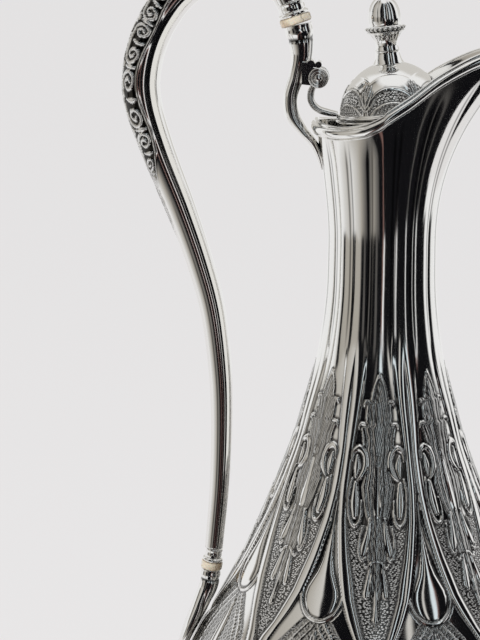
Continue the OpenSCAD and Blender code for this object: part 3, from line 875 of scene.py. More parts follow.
@dataclass(frozen=True)
class BodyForm:
    """The pear-shaped body: bowl, neck and mouth, with the moulding round its edge."""

    maker: Maker
    knots: tuple = ((15, 28), (20, 29), (45, 36), (70, 55), (80, 80), (69, 109), (50, 145), (34, 184),
                    (28.4, 202), (23.4, 221), (20.6, 241), (20, 260), (20, 278))
    flare_z: float = 260.0
    flare_run: float = 50.0
    flare_power: float = 2.5
    margin: float = 1.0
    wall: float = 1.1
    ledge: tuple = (17.4, 20.0)
    bands: tuple = ((28.2, 74, 90, 640), (74, 112, 90, 768), (112, 140, 98, 896), (140, 168, 98, 896),
                    (168, 202, 104, 832), (202, 260, 110, 512), (260, 309.4, 110, 512))
    art: PanelArt = PanelArt()
    mouth: Mouth = Mouth()

    def profile(self) -> tuple[Array, Array]:
        """Distance run along the plain surface below the flare, and (radius, height) at each."""
        line = spline(np.array(self.knots, float), np.linspace(0, len(self.knots) - 2, 4000))
        return lengths(line), line

    def plain(self, u: Array, angle: Array) -> tuple[Array, Array, Array]:
        """The plain surface: turned up to the flare, then opening into the mouth.

        Above the flare's start the point is the neck's circle moved towards the mouth's edge by
        a power of the share of the flare that it has run.

        Args:
            u: Distance run from the foot, one per row.
            angle: Angles round the body, one per column.

        Returns:
            Points at [row, column], and the height and radius that the ornament reads, per row.
        """
        run, line = self.profile()
        r, z = (np.interp(u, run, c) for c in line.T)
        share = np.clip((u - run[-1]) / self.flare_run, 0, None)[:, None]
        edge = self.mouth.edge(angle)[None]
        round_ = np.stack([np.cos(angle), np.sin(angle)], -1)[None] * r[:, None, None]
        xy = round_ + (edge[..., :2] - round_) * (share**self.flare_power)[..., None]
        height = z[:, None] + (edge[..., 2] - self.flare_z) * share
        return np.concatenate([xy, height[..., None]], -1), z + share[:, 0] * self.flare_run, r

    def band(self, low: float, high: float, rows: int, cols: int) -> Sheet:
        """Closed stretch of the body's wall between two heights.

        Args:
            low: Height where it starts, in mm.
            high: Height where it ends.
            rows: Rows of points up its outside.
            cols: Points round it, a multiple of sixteen.

        Returns:
            The stretch, with the ornament on its outside.
        """
        run, line = self.profile()
        ends = [np.interp(h, line[:, 1], run) + max(h - self.flare_z, 0) for h in (low, high)]
        gap = (ends[1] - ends[0]) / (rows - 1)
        base, z, r = self.plain(np.linspace(ends[0] - gap, ends[1] + gap, rows + 2), circle(cols))
        out = grid_normals(base)
        sector = cols // 8
        p = np.linspace(0, self.art.half, sector // 2 + 1)
        grids = self.art.field(*np.broadcast_arrays(p[None, :], z[:, None], r[:, None]))
        k = np.arange(cols) % sector
        grids = {name: g[:, np.minimum(k, sector - k)] for name, g in grids.items()}
        h = grids.pop("height")
        # Painted shade and tarnish in the relief's hollows, where it lies below its surroundings.
        hollow = np.clip((blurred(h, max(int(round(1.3 / gap)), 1)) - h - 0.03) / 0.15, 0, 1)
        grids["dark"] = np.maximum(grids["dark"] * 0.95, hollow * 0.9)
        thin = step(262, 290, z)
        margin = (self.margin - 0.7 * thin)[:, None, None]
        wall = (self.wall - 0.4 * thin)[:, None, None]
        outer = base + out * (h[..., None] - margin)
        coarse = np.linspace(rows, 1, 12).round().astype(int)
        inner = base - out * (margin + wall)
        skin = Sheet(outer[1:-1], marks={name: g[1:-1] for name, g in grids.items()},
                     normals=grid_normals(outer)[1:-1])
        return joined(skin, Sheet(inner[coarse], normals=-out[coarse]))

    def build(self) -> None:
        """Makes the body's pieces."""
        for i, (low, high, rows, cols) in enumerate(self.bands):
            sheet = self.band(low, high, int(rows * FINE), int(cols * FINE))
            nodes = {0: ("body_bowl",), 5: ("body_neck",)}.get(i, ())
            self.maker.piece(f"body_band_{i + 1}", sheet, Slot.CHASED, *nodes)
        self.rim()
        self.seat()

    def seat(self) -> None:
        """Makes the horseshoe ledge inside the mouth that the lid rests on, open towards the spout."""
        angle = np.radians(np.linspace(90, 270, int(160 * FINE)))[:, None]
        inner, outer = self.ledge
        across, up = outline(24, 4.0).T[:, None]
        r = (outer + inner) / 2 + across * (outer - inner) / 2 + 0 * angle
        flat = np.stack([r * np.cos(angle), r * np.sin(angle), -0.95 + 0.6 * up + 0 * r], -1)
        self.maker.piece("seat_ledge", Sheet(Lid(self.maker).placed(flat)), Slot.SILVER, "lid_seat")

    def rim(self) -> None:
        """Makes the moulding round the mouth: fillet, groove, bold roll and a fine line under it."""
        section = ((-1.1, -2.4), (-1.15, 0.0), (-1.1, 1.7), (-0.75, 2.3), (-0.2, 2.38), (0.2, 2.2),
                   (0.36, 1.85), (0.34, 1.55), (0.5, 1.4), (1.0, 1.3), (1.5, 0.8), (1.7, 0.1), (1.65, -0.6),
                   (1.4, -1.2), (1.05, -1.6), (0.8, -1.72), (0.78, -1.88), (0.95, -2.0), (0.9, -2.25),
                   (0.6, -2.38), (0.2, -2.4))
        closed = np.array(section[-1:] + section + section[:2], float)
        rows = spline(closed, np.linspace(1, len(section) + 1, 4 * len(section), endpoint=False))
        points = self.mouth.ring(circle(int(720 * FINE)), rows[:, 0] - self.wall / 2, rows[:, 1])
        self.maker.piece("rim_moulding", Sheet(points, True), Slot.SILVER, "mouth_rim")


# ---- Foot ----


@dataclass(frozen=True)
class Foot:
    """Spun foot: resting wire, lobed dome and knop."""

    maker: Maker
    radius: float = 46.0
    wall: float = 1.1

    def build(self) -> None:
        """Makes the foot's pieces."""
        cols = int(576 * FINE)
        r = self.radius
        wire = even(((r - 2.5, 3.2), (r - 2.5, 0.6), (r - 2.2, 0.05), (r, 0.0), (r + 1.2, 0.05),
                     (r + 1.8, 0.8), (r + 1.85, 1.7), (r + 1.5, 2.5), (r + 1.0, 3.0), (r + 0.8, 3.5),
                     (r + 0.9, 4.1), (r + 0.4, 4.35), (r - 1.0, 4.35), (r - 1.6, 4.0)), 60)
        wire[:, 1] = np.maximum(wire[:, 1], 0)
        out = 0.3 * bell(wire[:, 1] - 1.6, 1.0) * (wire[:, 0] > r)
        self.maker.piece("foot_wire", Sheet(turned(wire, cols, 96, out), True), Slot.SILVER, "foot_ring")
        line = even(((r - 0.3, 4.6), (r - 4, 8.2), (r - 13, 11), (r - 21, 15), (18.4, 20), (16.6, 24.6)), 120)
        n = left_normals(line)
        share = np.linspace(0, 1, len(line))
        depth = 0.9 * step(0.02, 0.2, share) * step(0.98, 0.7, share)
        top = turned(line + n * (self.wall * 0.5 + 0.3 - depth[:, None] * 0.5), cols, 32, depth)
        under = turned((line + n * self.wall)[::-8], cols)
        self.maker.piece("foot_shell", joined(Sheet(top), Sheet(under)), Slot.SILVER, "foot_dome")
        knop = even(((13.6, 25.1), (16.0, 25.1), (17.2, 25.7), (17.7, 26.9), (17.2, 28.1), (16.0, 28.7),
                     (13.6, 28.7)), 40)
        bead = 0.25 * bell(knop[:, 1] - 26.9, 1.2) * (knop[:, 0] > 16) - 0.2
        knop = turned(knop, int(384 * FINE), 48, bead)
        self.maker.piece("foot_collar", Sheet(knop, True), Slot.SILVER, "foot_knop")


# ---- Handle ----


@dataclass(frozen=True)
class Break:
    """Bone heat break with the turned ferrule above it."""

    end: str
    pos: tuple
    lean: float
    radius: float
    thick: float

    def trimmed(self, points: Array) -> Array:
        """Flattens what would stand above the break's lower face.

        Args:
            points: Points of the arm below the break.

        Returns:
            The points, none of them beyond that face.
        """
        a = math.radians(self.lean)
        axis = np.array([-math.sin(a), 0.0, math.cos(a)])
        over = (points - np.array(self.pos, float)) @ axis + self.thick / 2 + 0.02
        return points - np.maximum(over, 0)[..., None] * axis

    def build(self, maker: Maker) -> None:
        """Makes the bone ring and the ferrule.

        Args:
            maker: Writes the pieces.
        """
        r, h = self.radius, self.thick / 2
        cols = int(160 * FINE)
        ring = even(((0.4, -h), (r - 0.8, -h), (r - 0.3, -h + 0.1), (r, -h + 0.5), (r, 0), (r, h - 0.5),
                     (r - 0.3, h - 0.1), (r - 0.8, h), (0.4, h)), 36)
        points = turned(ring, cols)
        x, y, z = np.moveaxis(points, -1, 0)
        wander = np.arctan2(y, x) + math.pi / 2 - 0.5 + 0.05 * np.sin(z * 3)
        crack = 0.9 * bell(wander * r, 0.13) + 0.5 * bell(h - np.abs(z), 0.25)
        sheet = Sheet(tilted(points, self.lean, self.pos), marks={"crack": np.clip(crack, 0, 1)})
        maker.piece(f"{self.end}_break_ring", sheet, Slot.BONE, f"heat_break_{self.end}")
        s = h + 0.02
        collar = even(((0.3, s), (r - 0.8, s), (r - 0.35, s + 0.15), (r - 0.12, s + 0.75), (r - 0.4, s + 1.3),
                       (r - 0.85, s + 1.55), (r - 0.9, s + 1.9), (r - 0.8, s + 2.4), (r - 0.85, s + 3.6),
                       (r - 0.9, s + 5.0), (0.3, s + 5.0)), 70)
        sheet = Sheet(tilted(turned(collar, cols), self.lean, self.pos))
        maker.piece(f"{self.end}_break_ferrule", sheet, Slot.SILVER, f"handle_ferrule_{self.end}")


@dataclass(frozen=True)
class Handle:
    """Hollow scroll handle, engraved along its back, with its heat breaks and the sockets on the body."""

    maker: Maker
    knots: tuple = ((-33.4, 344.6, 4.9), (-36.5, 350, 5.6), (-43, 354.6, 6.1), (-52, 356.2, 6.3),
                    (-63, 353.6, 6.6), (-73, 346.5, 6.9), (-81, 334.5, 7), (-85, 321, 7), (-84.6, 309, 6.8),
                    (-79.5, 292.5, 6.1), (-71.5, 272, 5.5), (-65, 253, 5.1), (-60.3, 235, 4.8),
                    (-57.8, 214, 4.5), (-57.2, 195, 4.2), (-58, 170, 3.9), (-60.2, 145.5, 3.6))
    wall: float = 1.2
    upper_arm: tuple = ((-30.35, 336.9, 5.0, 5.0), (-29.4, 332, 4.6, 4.6), (-29, 326, 3.8, 4),
                        (-30.6, 319, 3.0, 3.6), (-32.7, 312, 2.7, 3.8), (-32, 305.5, 2.7, 4.2),
                        (-28.6, 300.4, 2.1, 4.6), (-25, 296.4, 1.8, 4.6), (-22.6, 291.5, 1.4, 3.4),
                        (-21.4, 286.5, 0.6, 1))
    lower_arm: tuple = ((-61.25, 137.1, 3.7, 3.8), (-62.2, 130.5, 3.6, 4), (-65.5, 122.6, 3.2, 5.6),
                        (-69.3, 114.2, 2.6, 6.6), (-72, 107.2, 2, 5.4), (-74.2, 99.5, 0.7, 1.4))
    upper: Break = Break("upper", (-31.2, 0, 338.4), 18, 5.5, 2.8)
    lower: Break = Break("lower", (-61, 0, 138.6), -9, 3.9, 3.0)
    lines: tuple = (64.0, 84.0, 104.0)
    repeat: float = 17.0
    scroll: tuple[Motif, ...] = (
        Motif(((0.0, 3.0, 0.5), (3.0, 3.2, 0.5), (6.6, 4.0, 0.5), (7.8, 6.2, 0.5), (6.2, 8.3, 0.5),
               (3.7, 7.9, 0.5), (3.1, 5.9, 0.45), (4.8, 5.1, 0.5), (5.9, 6.2, 0.5), (5.0, 7.0, 0.45)), 0.5),
        Motif(((17.0, 3.0, 0.5), (14.6, 3.6, 0.5), (11.6, 4.2, 0.5), (10.3, 6.4, 0.5), (11.8, 8.5, 0.5),
               (14.2, 8.1, 0.5), (14.9, 6.2, 0.45), (13.2, 5.2, 0.5), (12.1, 6.4, 0.5), (13.0, 7.2, 0.45)),
               0.5),
        Motif(((1.0, 2.2, 0.3), (4.0, 1.2, 0.9), (7.6, 0.6, 0.3)), 0.5),
        Motif(((9.4, 2.4, 0.3), (12.4, 1.3, 0.9), (16.2, 0.6, 0.3)), 0.5),
        Motif(((9.0, 8.9, 0.3), (9.0, 7.0, 0.7), (8.8, 4.8, 0.3)), 0.5),
        Motif(((0.6, 8.9, 0.3), (0.8, 7.0, 0.7), (0.2, 5.0, 0.3)), 0.5),
        Motif(((-1.0, 2.2, 0.35), (4.0, 1.2, 0.5), (8.5, 2.4, 0.35), (13.0, 1.2, 0.5), (18.0, 2.2, 0.35)),
               0.5),
        Motif(((7.4, 2.8, 0.25), (8.8, 3.2, 0.6), (10.6, 2.6, 0.25)), 0.5),
    )

    def engraving(self, run: Array, turn: Array, girth: Array) -> dict[str, Array]:
        """Scrolling foliage along the handle's back.

        Args:
            run: Distance from the upper end, in mm.
            turn: Angle round the section from its inner side, in radians.
            girth: Distance round the section from the middle of its back, in mm.

        Returns:
            Grids named height, dark, frost and arc.
        """
        reach = np.interp(run, (0, 15, 45, 85, 105, 118, 140), (7.0, 9.8, 10.8, 10.6, 8.6, 5.0, 2.5))
        x = np.mod(run + 2.2 * np.sin(0.11 * run), self.repeat)
        y = np.abs(girth) * 9.6 / reach * (1 + 0.1 * np.sin(0.17 * run + 0.6))
        height, dark = np.zeros((2, *run.shape))
        leafy = np.zeros(run.shape, bool)
        for m in self.scroll:
            for shift in (-self.repeat, 0.0):
                share, edge = stroke(x + shift, y, m.path)
                height = np.maximum(height, m.height * half_round(share))
                # Painted shade and tarnish round each scroll.
                dark = np.maximum(dark, 0.9 * bell(edge - 0.3, 0.35))
                leafy |= share < 1
        deep = step(9.7, 9.3, y) * step(119, 110, run)
        light = 0.6 * step(9.6, 8.8, y) * step(140, 126, run) * (1 - deep)
        zone = np.maximum(deep, light)
        side = np.degrees(np.minimum(turn, 2 * np.pi - turn))
        pitch = 360 / side.shape[1]
        first, second, third = (bell(side - round(at / pitch) * pitch, 1.15 * pitch) for at in self.lines)
        lines = first + 0.5 * second + 0.5 * third * step(120, 135, run)
        edge = bell(y - 9.9, 0.3) * step(119, 112, run)
        relief = -0.3 * deep + height * zone - 0.1 * lines * (1 - deep) + 0.12 * edge
        # Painted shade and tarnish over the sunk ground, in the lines and along the ground's edge.
        dark = np.where(leafy, dark * 0.05, np.maximum(dark, 0.97 * deep)) * zone
        dark = np.maximum(dark, np.maximum(0.75 * lines * (1 - deep), 0.6 * edge))
        return {"height": relief, "dark": dark, "frost": 0.88 * leafy * zone,
                "arc": np.stack([girth, run, 0 * run], -1)}

    def build(self) -> None:
        """Makes the handle's pieces."""
        rows, cols = int(720 * FINE), int(128 * FINE)
        line = even(self.knots, rows)
        halves = np.stack([line[:, 2] - 0.25, line[:, 2] * 0.92 - 0.2], -1)
        section = outline(cols, 2.25)
        turn = circle(cols)[None, :]
        run = lengths(line[:, :2])[:, None]
        art = self.engraving(*np.broadcast_arrays(run, turn, (turn - np.pi) * line[:, 2:3]))
        outer = swept(line, section, halves, art.pop("height"))
        inner = swept(line[::-16], section, (halves - self.wall)[::-16])
        self.maker.piece("handle_tube", joined(Sheet(outer, marks=art), Sheet(inner)), Slot.CHASED, "handle")
        self.upper.build(self.maker)
        self.lower.build(self.maker)
        self.arm(self.upper_arm, self.upper)
        self.arm(self.lower_arm, self.lower)

    def arm(self, knots: tuple, top: Break) -> None:
        """Makes the leafy arm that carries a heat break off the body.

        Args:
            knots: (x, z, half thickness, half width) rows.
            top: The heat break that it carries.
        """
        rows, cols = int(260 * FINE), int(112 * FINE)
        line = even(knots, rows)
        share = np.linspace(0, 1, rows)[:, None]
        turn = circle(cols)[None, :]
        leaf = step(0.03, 0.12, share) * step(1.0, 0.85, share) * step(0.75, 0.5, share)
        ribs = 0.5 * np.abs(np.sin(2.5 * turn + 1.2 * np.sin(9 * share))) ** 0.6 - 0.4
        mould = 0.2 * bell(share - 0.05, 0.02) - 0.3 * bell(share - 0.095, 0.014)
        out = ribs * leaf * step(-0.2, 0.35, np.cos(turn)) + mould
        fade = np.minimum(line[:, 2:3], 2.0) / 2.0
        points = swept(line, outline(cols, 2.4), line[:, 2:4] - 0.15, out * fade)
        # Painted shade and tarnish in the grooves between the ribs.
        sheet = Sheet(top.trimmed(points), marks={"dark": 0.85 * np.clip(-out * 4, 0, 1)})
        self.maker.piece(f"{top.end}_arm", sheet, Slot.CHASED, f"socket_{top.end}")


# ---- Hinge ----


@dataclass(frozen=True)
class Hinge:
    """Knuckles and pin at the back of the mouth, and the strap to the lid."""

    maker: Maker
    pos: tuple = (-22.9, 0.0, 318.8)
    knuckle_r: float = 3.4
    half: float = 5.0
    middle_half: float = 1.85
    path: tuple = ((-1.6, -2.6, 1.0, 1.8), (-2.7, -5.2, 1.25, 1.8), (-2.6, -8.4, 1.3, 2.2),
                   (-0.4, -11, 1.3, 2.9), (3.6, -12.3, 1.2, 3.3), (6.7, -12.75, 0.9, 3.1))
    plain: tuple = ("hinge_fixed_leaf", "heat_break_pins", "lid_flange", "finial_stud", "finial_washer",
                    "finial_nut")

    def boss(self, profile: tuple, side: float = 1.0, rows: int = 40) -> Array:
        """Turned boss on the hinge's axis.

        Args:
            profile: (radius, distance along the axis) rows.
            side: Which end it is on, -1 or 1.
            rows: Rows of points along the profile.

        Returns:
            Points at [row, column].
        """
        x, y, z = np.moveaxis(turned(even(profile, rows), int(96 * FINE)), -1, 0)
        return np.stack([x, z * side, y], -1) + np.array(self.pos)

    def build(self) -> None:
        """Makes the rings, the middle knuckle, the rivet and the strap, and dresses the plain CAD parts."""
        r, e, m = self.knuckle_r, self.half, self.middle_half
        face = ((1.2, e - 0.3), (1.25, e + 0.02), (1.75, e + 0.05), (1.9, e + 0.3), (2.3, e + 0.35),
                (2.5, e + 0.02), (2.9, e + 0.04), (3.1, e + 0.25), (r, e + 0.1), (r + 0.05, e - 0.3),
                (2.4, e - 0.5))
        for side, name in ((-1.0, "near"), (1.0, "far")):
            self.maker.piece(f"knuckle_ring_{name}", Sheet(self.boss(face, side)), Slot.SILVER)
        middle = ((1.1, -m), (2.9, -m), (r - 0.08, -m + 0.3), (r - 0.02, 0.0), (r - 0.08, m - 0.3), (2.9, m),
                  (1.1, m))
        self.maker.piece("knuckle_middle", Sheet(self.boss(middle), True), Slot.SILVER, ride=Ride.LID)
        head = ((0.05, e + 0.95), (0.7, e + 0.86), (1.25, e + 0.6), (1.58, e + 0.25), (1.55, e + 0.12),
                (1.0, e + 0.08))
        rivet = tuple((radius, -y) for radius, y in head) + head[::-1]
        self.maker.piece("hinge_rivet", Sheet(self.boss(rivet, rows=160)), Slot.SILVER, "hinge_pin")
        self.strap()
        for node in self.plain:
            self.maker.dress(node)

    def strap(self) -> None:
        """Makes the reeded strap that curls from the knuckle down to the lid's edge."""
        rows, cols = int(120 * FINE), int(96 * FINE)
        line = even(self.path, rows)
        line[:, :2] += (self.pos[0], self.pos[2])
        reeds = 0.24 * np.abs(np.cos(4 * circle(cols)[None, :])) ** 0.7 - 0.24
        ends = step(0, 6, np.arange(rows))[:, None]
        ends = ends * ends[::-1]
        points = swept(line, outline(cols, 2.6), line[:, 2:4], reeds * ends)
        # Painted shade and tarnish in the grooves between the reeds.
        sheet = Sheet(points, marks={"dark": np.clip(-reeds * 3.2, 0, 0.8) * ends})
        self.maker.piece("lid_strap", sheet, Slot.CHASED, "hinge_lid_leaf", ride=Ride.LID)


# ---- Lid ----


@dataclass(frozen=True)
class Lid:
    """Domed lid with stippled lunettes and a bud finial, tilted with the mouth."""

    maker: Maker
    pos: tuple = (3.0, 0.0, 306.3)
    tilt: float = 6.0
    radius: float = 18.6
    height: float = 18.6
    wall: float = 1.1
    margin: float = 0.35
    arches: int = 6
    sprig: tuple = (((0.0, 3.0, 0.3), (0.0, 7.0, 0.35), (0.0, 12.0, 0.15)),
                    ((0.2, 4.0, 0.2), (1.5, 6.8, 0.35), (1.9, 10.0, 0.15)),
                    ((0.2, 3.0, 0.2), (2.1, 4.6, 0.35), (3.3, 7.4, 0.15)),
                    ((0.2, 6.5, 0.2), (0.9, 9.4, 0.3), (1.0, 12.4, 0.15)))

    def placed(self, points: Array) -> Array:
        """Points of the lid's own frame, its edge on z = 0, moved to the shared frame."""
        return tilted(points, self.tilt, self.pos)

    def chasing(self, turn: Array, rise: Array) -> dict[str, Array]:
        """Ornament of the dome: stippled lunettes between leafy sprigs.

        Args:
            turn: Angle round the lid, in radians.
            rise: Angle up the dome from its edge, in radians.

        Returns:
            Grids named height, dark, matt, frost, vein and arc.
        """
        sector = 2 * np.pi / self.arches
        q = np.abs(np.mod(turn + np.pi / 2 + sector / 2, sector) - sector / 2)
        x, edge_x = (angle * self.radius * np.cos(rise * 0.85) for angle in (q, sector / 2 - q))
        y = rise * self.radius
        outer = np.hypot(x, y - 2.2) - 8.6
        inner = np.hypot(x, y + 4.0) - 9.4
        lune = (outer < 0) & (inner > 0)
        rims = np.minimum(np.abs(outer), np.where(outer < 0.5, np.abs(inner), 9.0))
        height = 0.22 * bell(rims, 0.42) - 0.12 * lune
        leafy = np.full(x.shape, False)
        # Painted shade and tarnish beside the lunettes' rims, round the sprigs and in the sheaves' hollows.
        dark = 0.75 * bell(rims - 0.7, 0.22)
        for path in self.sprig:
            share, edge = stroke(edge_x, y, path)
            on = share < 1
            height = np.where(on, np.maximum(height, 0.28 * half_round(share)), height)
            dark = np.where(on, 0.05, np.maximum(dark, 0.7 * bell(edge - 0.22, 0.2)))
            leafy |= on
        low = (inner < 0) & (y > 0.6)
        sheaf = np.sin(x * 5.2) * np.sin(y * 3.1)
        facet = bell(np.hypot(x, y - 4.5) - 12.0, 0.35) * (y > 9)
        matt = np.maximum(lune & ~leafy & (rims > 0.5), 0.5 * low)
        return {"height": height + 0.15 * sheaf * low + 0.1 * facet,
                "dark": np.maximum(dark, 0.8 * low * (sheaf < -0.1)), "matt": matt,
                "frost": 0.3 * leafy, "vein": y, "arc": np.stack([x, y, 0 * x], -1)}

    @staticmethod
    def ball(r: Array | float, rise: Array, turn: Array) -> Array:
        """Points of a ball at a radius, an angle up from its middle and an angle round it."""
        flat = r * np.cos(rise)
        return np.stack([flat * np.cos(turn), flat * np.sin(turn), r * np.sin(rise) + 0 * turn], -1)

    def dome(self) -> None:
        """Makes the dome: a ball's cap whose radius carries the ornament, and a plain lining."""
        cols = int(480 * FINE)
        rise = np.linspace(0, np.radians(84.5), int(150 * FINE))[:, None]
        turn = circle(cols)[None, :]
        art = self.chasing(*np.broadcast_arrays(turn, rise))
        skin = self.ball(self.radius - self.margin + art.pop("height"), rise, turn)
        lining = self.ball(self.radius - self.wall, rise[::-12], turn)
        sheet = joined(Sheet(self.placed(skin), marks=art), Sheet(self.placed(lining)))
        self.maker.piece("lid_shell", sheet, Slot.CHASED, "lid_dome", ride=Ride.LID)

    def part(self, name: str, node: str, profile: tuple, rows: int = 60, ring: bool = False, lobes: int = 0,
             depth: Array | float = 0.0, shade_and_tarnish: float = 2.2) -> None:
        """Makes a turned part in the lid's frame.

        Args:
            name: The piece's name.
            node: The CAD node that it stands for.
            profile: (radius, height) rows.
            rows: Rows of points along the profile.
            ring: Whether the profile closes on itself.
            lobes: Lobes round it.
            depth: How far they stand out, per row or for all.
            shade_and_tarnish: How dark each mm of depth between the lobes is.
        """
        points = turned(even(profile, rows), int(288 * FINE), lobes, depth)
        r = np.hypot(points[..., 0], points[..., 1])
        # Painted shade and tarnish between the lobes, darker where they sink deeper.
        dark = np.clip((r.max(1, keepdims=True) - r) * shade_and_tarnish, 0, 0.9) * (lobes > 0)
        sheet = Sheet(self.placed(points), ring, {"dark": dark})
        self.maker.piece(name, sheet, Slot.CHASED, node, ride=Ride.LID)

    def build(self) -> None:
        """Makes the lid's pieces."""
        self.dome()
        r = self.radius
        wire = ((r + 0.04, 0.05), (r + 0.9, 0.05), (r + 1.22, 0.45), (r + 1.1, 0.85), (r + 0.8, 1.0),
                (r + 0.75, 1.2), (r + 0.5, 1.55), (r + 0.04, 1.65))
        self.part("lid_wire", "lid_edge_wire", wire, ring=True)
        b = self.height + 0.1
        foot = ((0.1, b - 1.3), (5.0, b - 1.4), (5.35, b - 1.1), (5.1, b - 0.6), (4.7, b + 0.3),
                (4.4, b + 1.4), (4.2, b + 2.4), (4.2, b + 3.1), (4.05, b + 3.25), (0.1, b + 3.28))
        self.part("finial_foot", "finial_base", foot)
        line = np.linspace(0, 1, 80)
        flutes = 0.24 * step(0.4, 0.52, line) * step(0.82, 0.72, line)
        cup = ((0.1, b + 3.34), (4.0, b + 3.34), (4.15, b + 3.5), (4.05, b + 3.9), (3.85, b + 4.8),
               (3.95, b + 6.0), (4.4, b + 7.4), (5.2, b + 8.9), (6.1, b + 10.0), (0.1, b + 10.1))
        self.part("finial_cup", "finial_calyx", cup, 80, lobes=10, depth=flutes, shade_and_tarnish=1.2)
        c = b + 10.9
        strands = 0.62 * bell(line - 0.5, 0.17) - 0.1
        rope = ((0.1, c - 0.75), (5.5, c - 0.75), (6.1, c - 0.6), (6.6, c - 0.2), (6.6, c + 0.2),
                (6.1, c + 0.55), (5.5, c + 0.6), (0.1, c + 0.6))
        self.part("finial_rope", "finial_collar", rope, 80, lobes=24, depth=strands)
        d = c + 0.8
        gores = 0.16 * step(0.3, 0.4, line) * step(0.93, 0.8, line) * np.clip(1.2 - line * 0.6, 0, 1)
        melon = ((0.1, d + 0.02), (5.0, d + 0.02), (5.35, d + 0.3), (5.55, d + 1.5), (5.5, d + 3.4),
                 (5.1, d + 5.6), (4.3, d + 7.6), (3.0, d + 9.2), (1.7, d + 10.0), (1.2, d + 10.2),
                 (0.9, d + 10.8), (0.1, d + 11.3))
        self.part("finial_melon", "finial_bud", melon, 80, lobes=8, depth=gores, shade_and_tarnish=0.8)


# ---- Studio ----


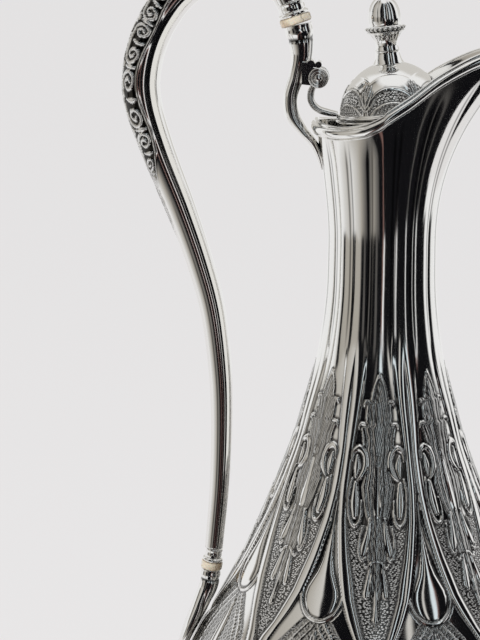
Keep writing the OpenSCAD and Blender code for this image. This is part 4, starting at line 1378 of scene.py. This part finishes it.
@dataclass(frozen=True)
class Studio:
    """Pale floor, the room that the silver reflects, and the camera."""

    eye: tuple = (0.0, -0.621, 0.3675)
    pitch: float = 12.3
    yaw: float = 4.65
    lens: float = 99.56
    pale: tuple = (0.807, 0.794, 0.797)
    floor_r: float = 14.0
    floor_sides: int = 96

    def room(self) -> None:
        """Makes the world: a dark room with strips of light in front, pale walls beside and behind.

        The colour seen in a direction depends on its bearing, looked up in one of four rows of
        colours by how high the direction points, with a white roof over them.
        """
        world = bpy.data.worlds.new("room")
        bpy.context.scene.world = world
        world.use_nodes = True
        g = Graph(world.node_tree)
        way = g.add("TexCoord").outputs["Generated"]
        x, y, z = g.add("SeparateXYZ", {0: way}).outputs
        bearing = g.math("ARCTAN2", x, g.times(y, -1.0))
        wobble = g.noise(way, 2.2, 1.0)
        at = g.math("ADD", g.times(bearing, 1 / (2 * math.pi), 0.5), g.times(wobble, 0.03, -0.015))
        rise = g.math("ADD", z, g.times(wobble, 0.06, -0.03))
        black, white = (0.004, 0.004, 0.005), (0.86, 0.86, 0.86)
        beige, grey, pink = (0.4, 0.375, 0.335), (0.1, 0.095, 0.09), (0.2, 0.115, 0.1)
        cream, blue = (0.62, 0.605, 0.575), (0.72, 0.8, 0.84)
        down = ((-180, white), (-62, white), (-58, grey), (-50, white), (-6, white), (-2, pink), (10, black),
                (30, black), (33, white), (44, white), (46, black), (98, black), (102, white))
        under = ((-180, white), (-88, white), (-42, beige), (-16, grey), (-12, black), (2, black), (3, pink),
                 (6, pink), (8, black), (60, black), (62, grey), (66, black), (94, black), (98, white))
        low = ((-180, white), (-94, white), (-85, cream), (-84, black), (-74, black), (-73, beige),
               (-46, beige), (-40, grey), (-37, black), (-27, black), (-25, grey), (-20, grey), (-18, black),
               (1, black), (2, pink), (6, pink), (7, white), (12, white), (13, black), (56, black),
               (57, white), (60, white), (61, black), (106, black), (114, white))
        high = ((-180, cream), (-140, cream), (-125, white), (-108, white), (-104, beige), (-92, black),
                (-84, beige), (-42, cream), (-37, black), (-16, black), (-14, grey), (-10, grey), (-9, black),
                (-1, black), (0, blue), (7, blue), (8, black), (24, black), (26, cream), (30, cream),
                (32, black), (46, black), (48, blue), (56, blue), (58, pink), (63, black), (92, black),
                (97, white), (125, white), (140, cream), (180, cream))
        walls = self.row(g, at, under)
        for start, end, stops in ((-0.24, -0.22, low), (-0.5, -0.53, down), (0.05, 0.07, high)):
            walls = g.mix(g.ease(rise, start, end), walls, self.row(g, at, stops))
        walls = g.mix(g.ease(z, 0.86, 0.93), walls, white)
        light = g.mix(g.add("LightPath").outputs["Is Camera Ray"], walls, self.pale)
        g.surface(g.add("Background", {"Color": light, "Strength": 1.0}), "World")

    @staticmethod
    def row(g: Graph, at: Socket, stops: tuple) -> Socket:
        """Row of colours by bearing, from (degrees, colour) pairs and the share of the full turn."""
        return g.ramp(at, tuple((b / 360 + 0.5, c) for b, c in stops))

    @staticmethod
    def stand(name: str, data: bpy.types.ID) -> bpy.types.Object:
        """New object of the stage, linked to the scene."""
        obj = bpy.data.objects.new(name, data)
        bpy.context.scene.collection.objects.link(obj)
        return obj

    def floor(self) -> None:
        """Makes the pale floor, which distant reflections see through to the room."""
        angle = circle(self.floor_sides)
        ring = np.stack([np.cos(angle), np.sin(angle), 0 * angle], -1) * self.floor_r
        mesh = bpy.data.meshes.new("floor")
        mesh.from_pydata(ring.tolist(), [], [list(range(self.floor_sides))])
        obj = self.stand("floor", mesh)
        made, g = material("floor")
        place = g.place()
        tint = g.mix(g.noise(place, 2.0), (0.8, 0.79, 0.79), (0.78, 0.775, 0.78))
        matt = g.add("BsdfDiffuse", {"Color": tint})
        glow = g.add("Emission", {"Color": (*self.pale, 1), "Strength": 1.03})
        mixed = g.add("MixShader", {0: 0.86, 1: matt.outputs[0], 2: glow.outputs[0]})
        far = g.math("GREATER_THAN", g.add("VectorMath", {0: place}, operation="LENGTH").outputs[1], 0.9)
        ahead = g.times(g.add("SeparateXYZ", {0: place}).outputs[1], -1.0)
        front = g.math("GREATER_THAN", ahead, 0.03)
        gone = g.times(g.math("MAXIMUM", far, front), g.add("LightPath").outputs["Is Glossy Ray"])
        clear = g.add("BsdfTransparent")
        g.surface(g.add("MixShader", {0: gone, 1: mixed.outputs[0], 2: clear.outputs[0]}))
        mesh.materials.append(made)

    def card(self) -> None:
        """Makes a white bounce card that only the handle's inner face reflects."""
        edge = ((-0.024, 0.12), (-0.021, 0.2), (-0.03, 0.25), (-0.05, 0.305), (-0.05, 0.345), (-0.004, 0.345),
                (-0.004, 0.12))
        corners = [(-0.036, y, z) for y, z in edge]
        mesh = bpy.data.meshes.new("card")
        mesh.from_pydata(corners, [], [range(len(corners))])
        obj = self.stand("card", mesh)
        for kind in ("camera", "diffuse", "shadow", "transmission"):
            setattr(obj, f"visible_{kind}", False)
        made, g = material("card")
        glow = g.add("Emission", {"Color": (0.8, 0.79, 0.76, 1), "Strength": 1.0})
        back = g.add("NewGeometry").outputs["Backfacing"]
        clear = g.add("BsdfTransparent")
        g.surface(g.add("MixShader", {0: back, 1: glow.outputs[0], 2: clear.outputs[0]}))
        mesh.materials.append(made)

    def lamp(self) -> None:
        """Makes the soft light from above and in front, which reflections don't show."""
        data = bpy.data.lights.new("softbox", "AREA")
        data.shape = "DISK"
        data.size = 1.2
        data.energy = 14.0
        obj = self.stand("softbox", data)
        obj.location = (-0.5, -0.9, 1.3)
        obj.rotation_euler = (math.radians(38), 0.0, math.radians(-29))
        obj.visible_glossy = False

    def camera(self) -> None:
        """Makes the camera."""
        data = bpy.data.cameras.new("camera")
        data.lens = self.lens
        data.clip_start = 0.01
        data.clip_end = 100.0
        obj = self.stand("camera", data)
        obj.location = self.eye
        obj.rotation_euler = (math.radians(90 - self.pitch), 0.0, math.radians(self.yaw))
        bpy.context.scene.camera = obj

    def build(self) -> None:
        """Makes the stage."""
        self.room()
        self.floor()
        self.card()
        self.lamp()
        self.camera()
        bpy.context.scene.view_settings.view_transform = "Standard"


def main() -> None:
    """Builds the pitcher and its stage."""
    logging.basicConfig(level=logging.INFO, format="%(name)s %(message)s")
    silver, chased = SilverFinish("silver").build(), SilverFinish("chased_silver", True).build()
    maker = Maker({Slot.SILVER: silver, Slot.CHASED: chased, Slot.BONE: BoneFinish().build()})
    for form in (BodyForm, Foot, Handle, Hinge, Lid):
        form(maker).build()
    Studio().build()


if __name__ == "__main__":
    main()
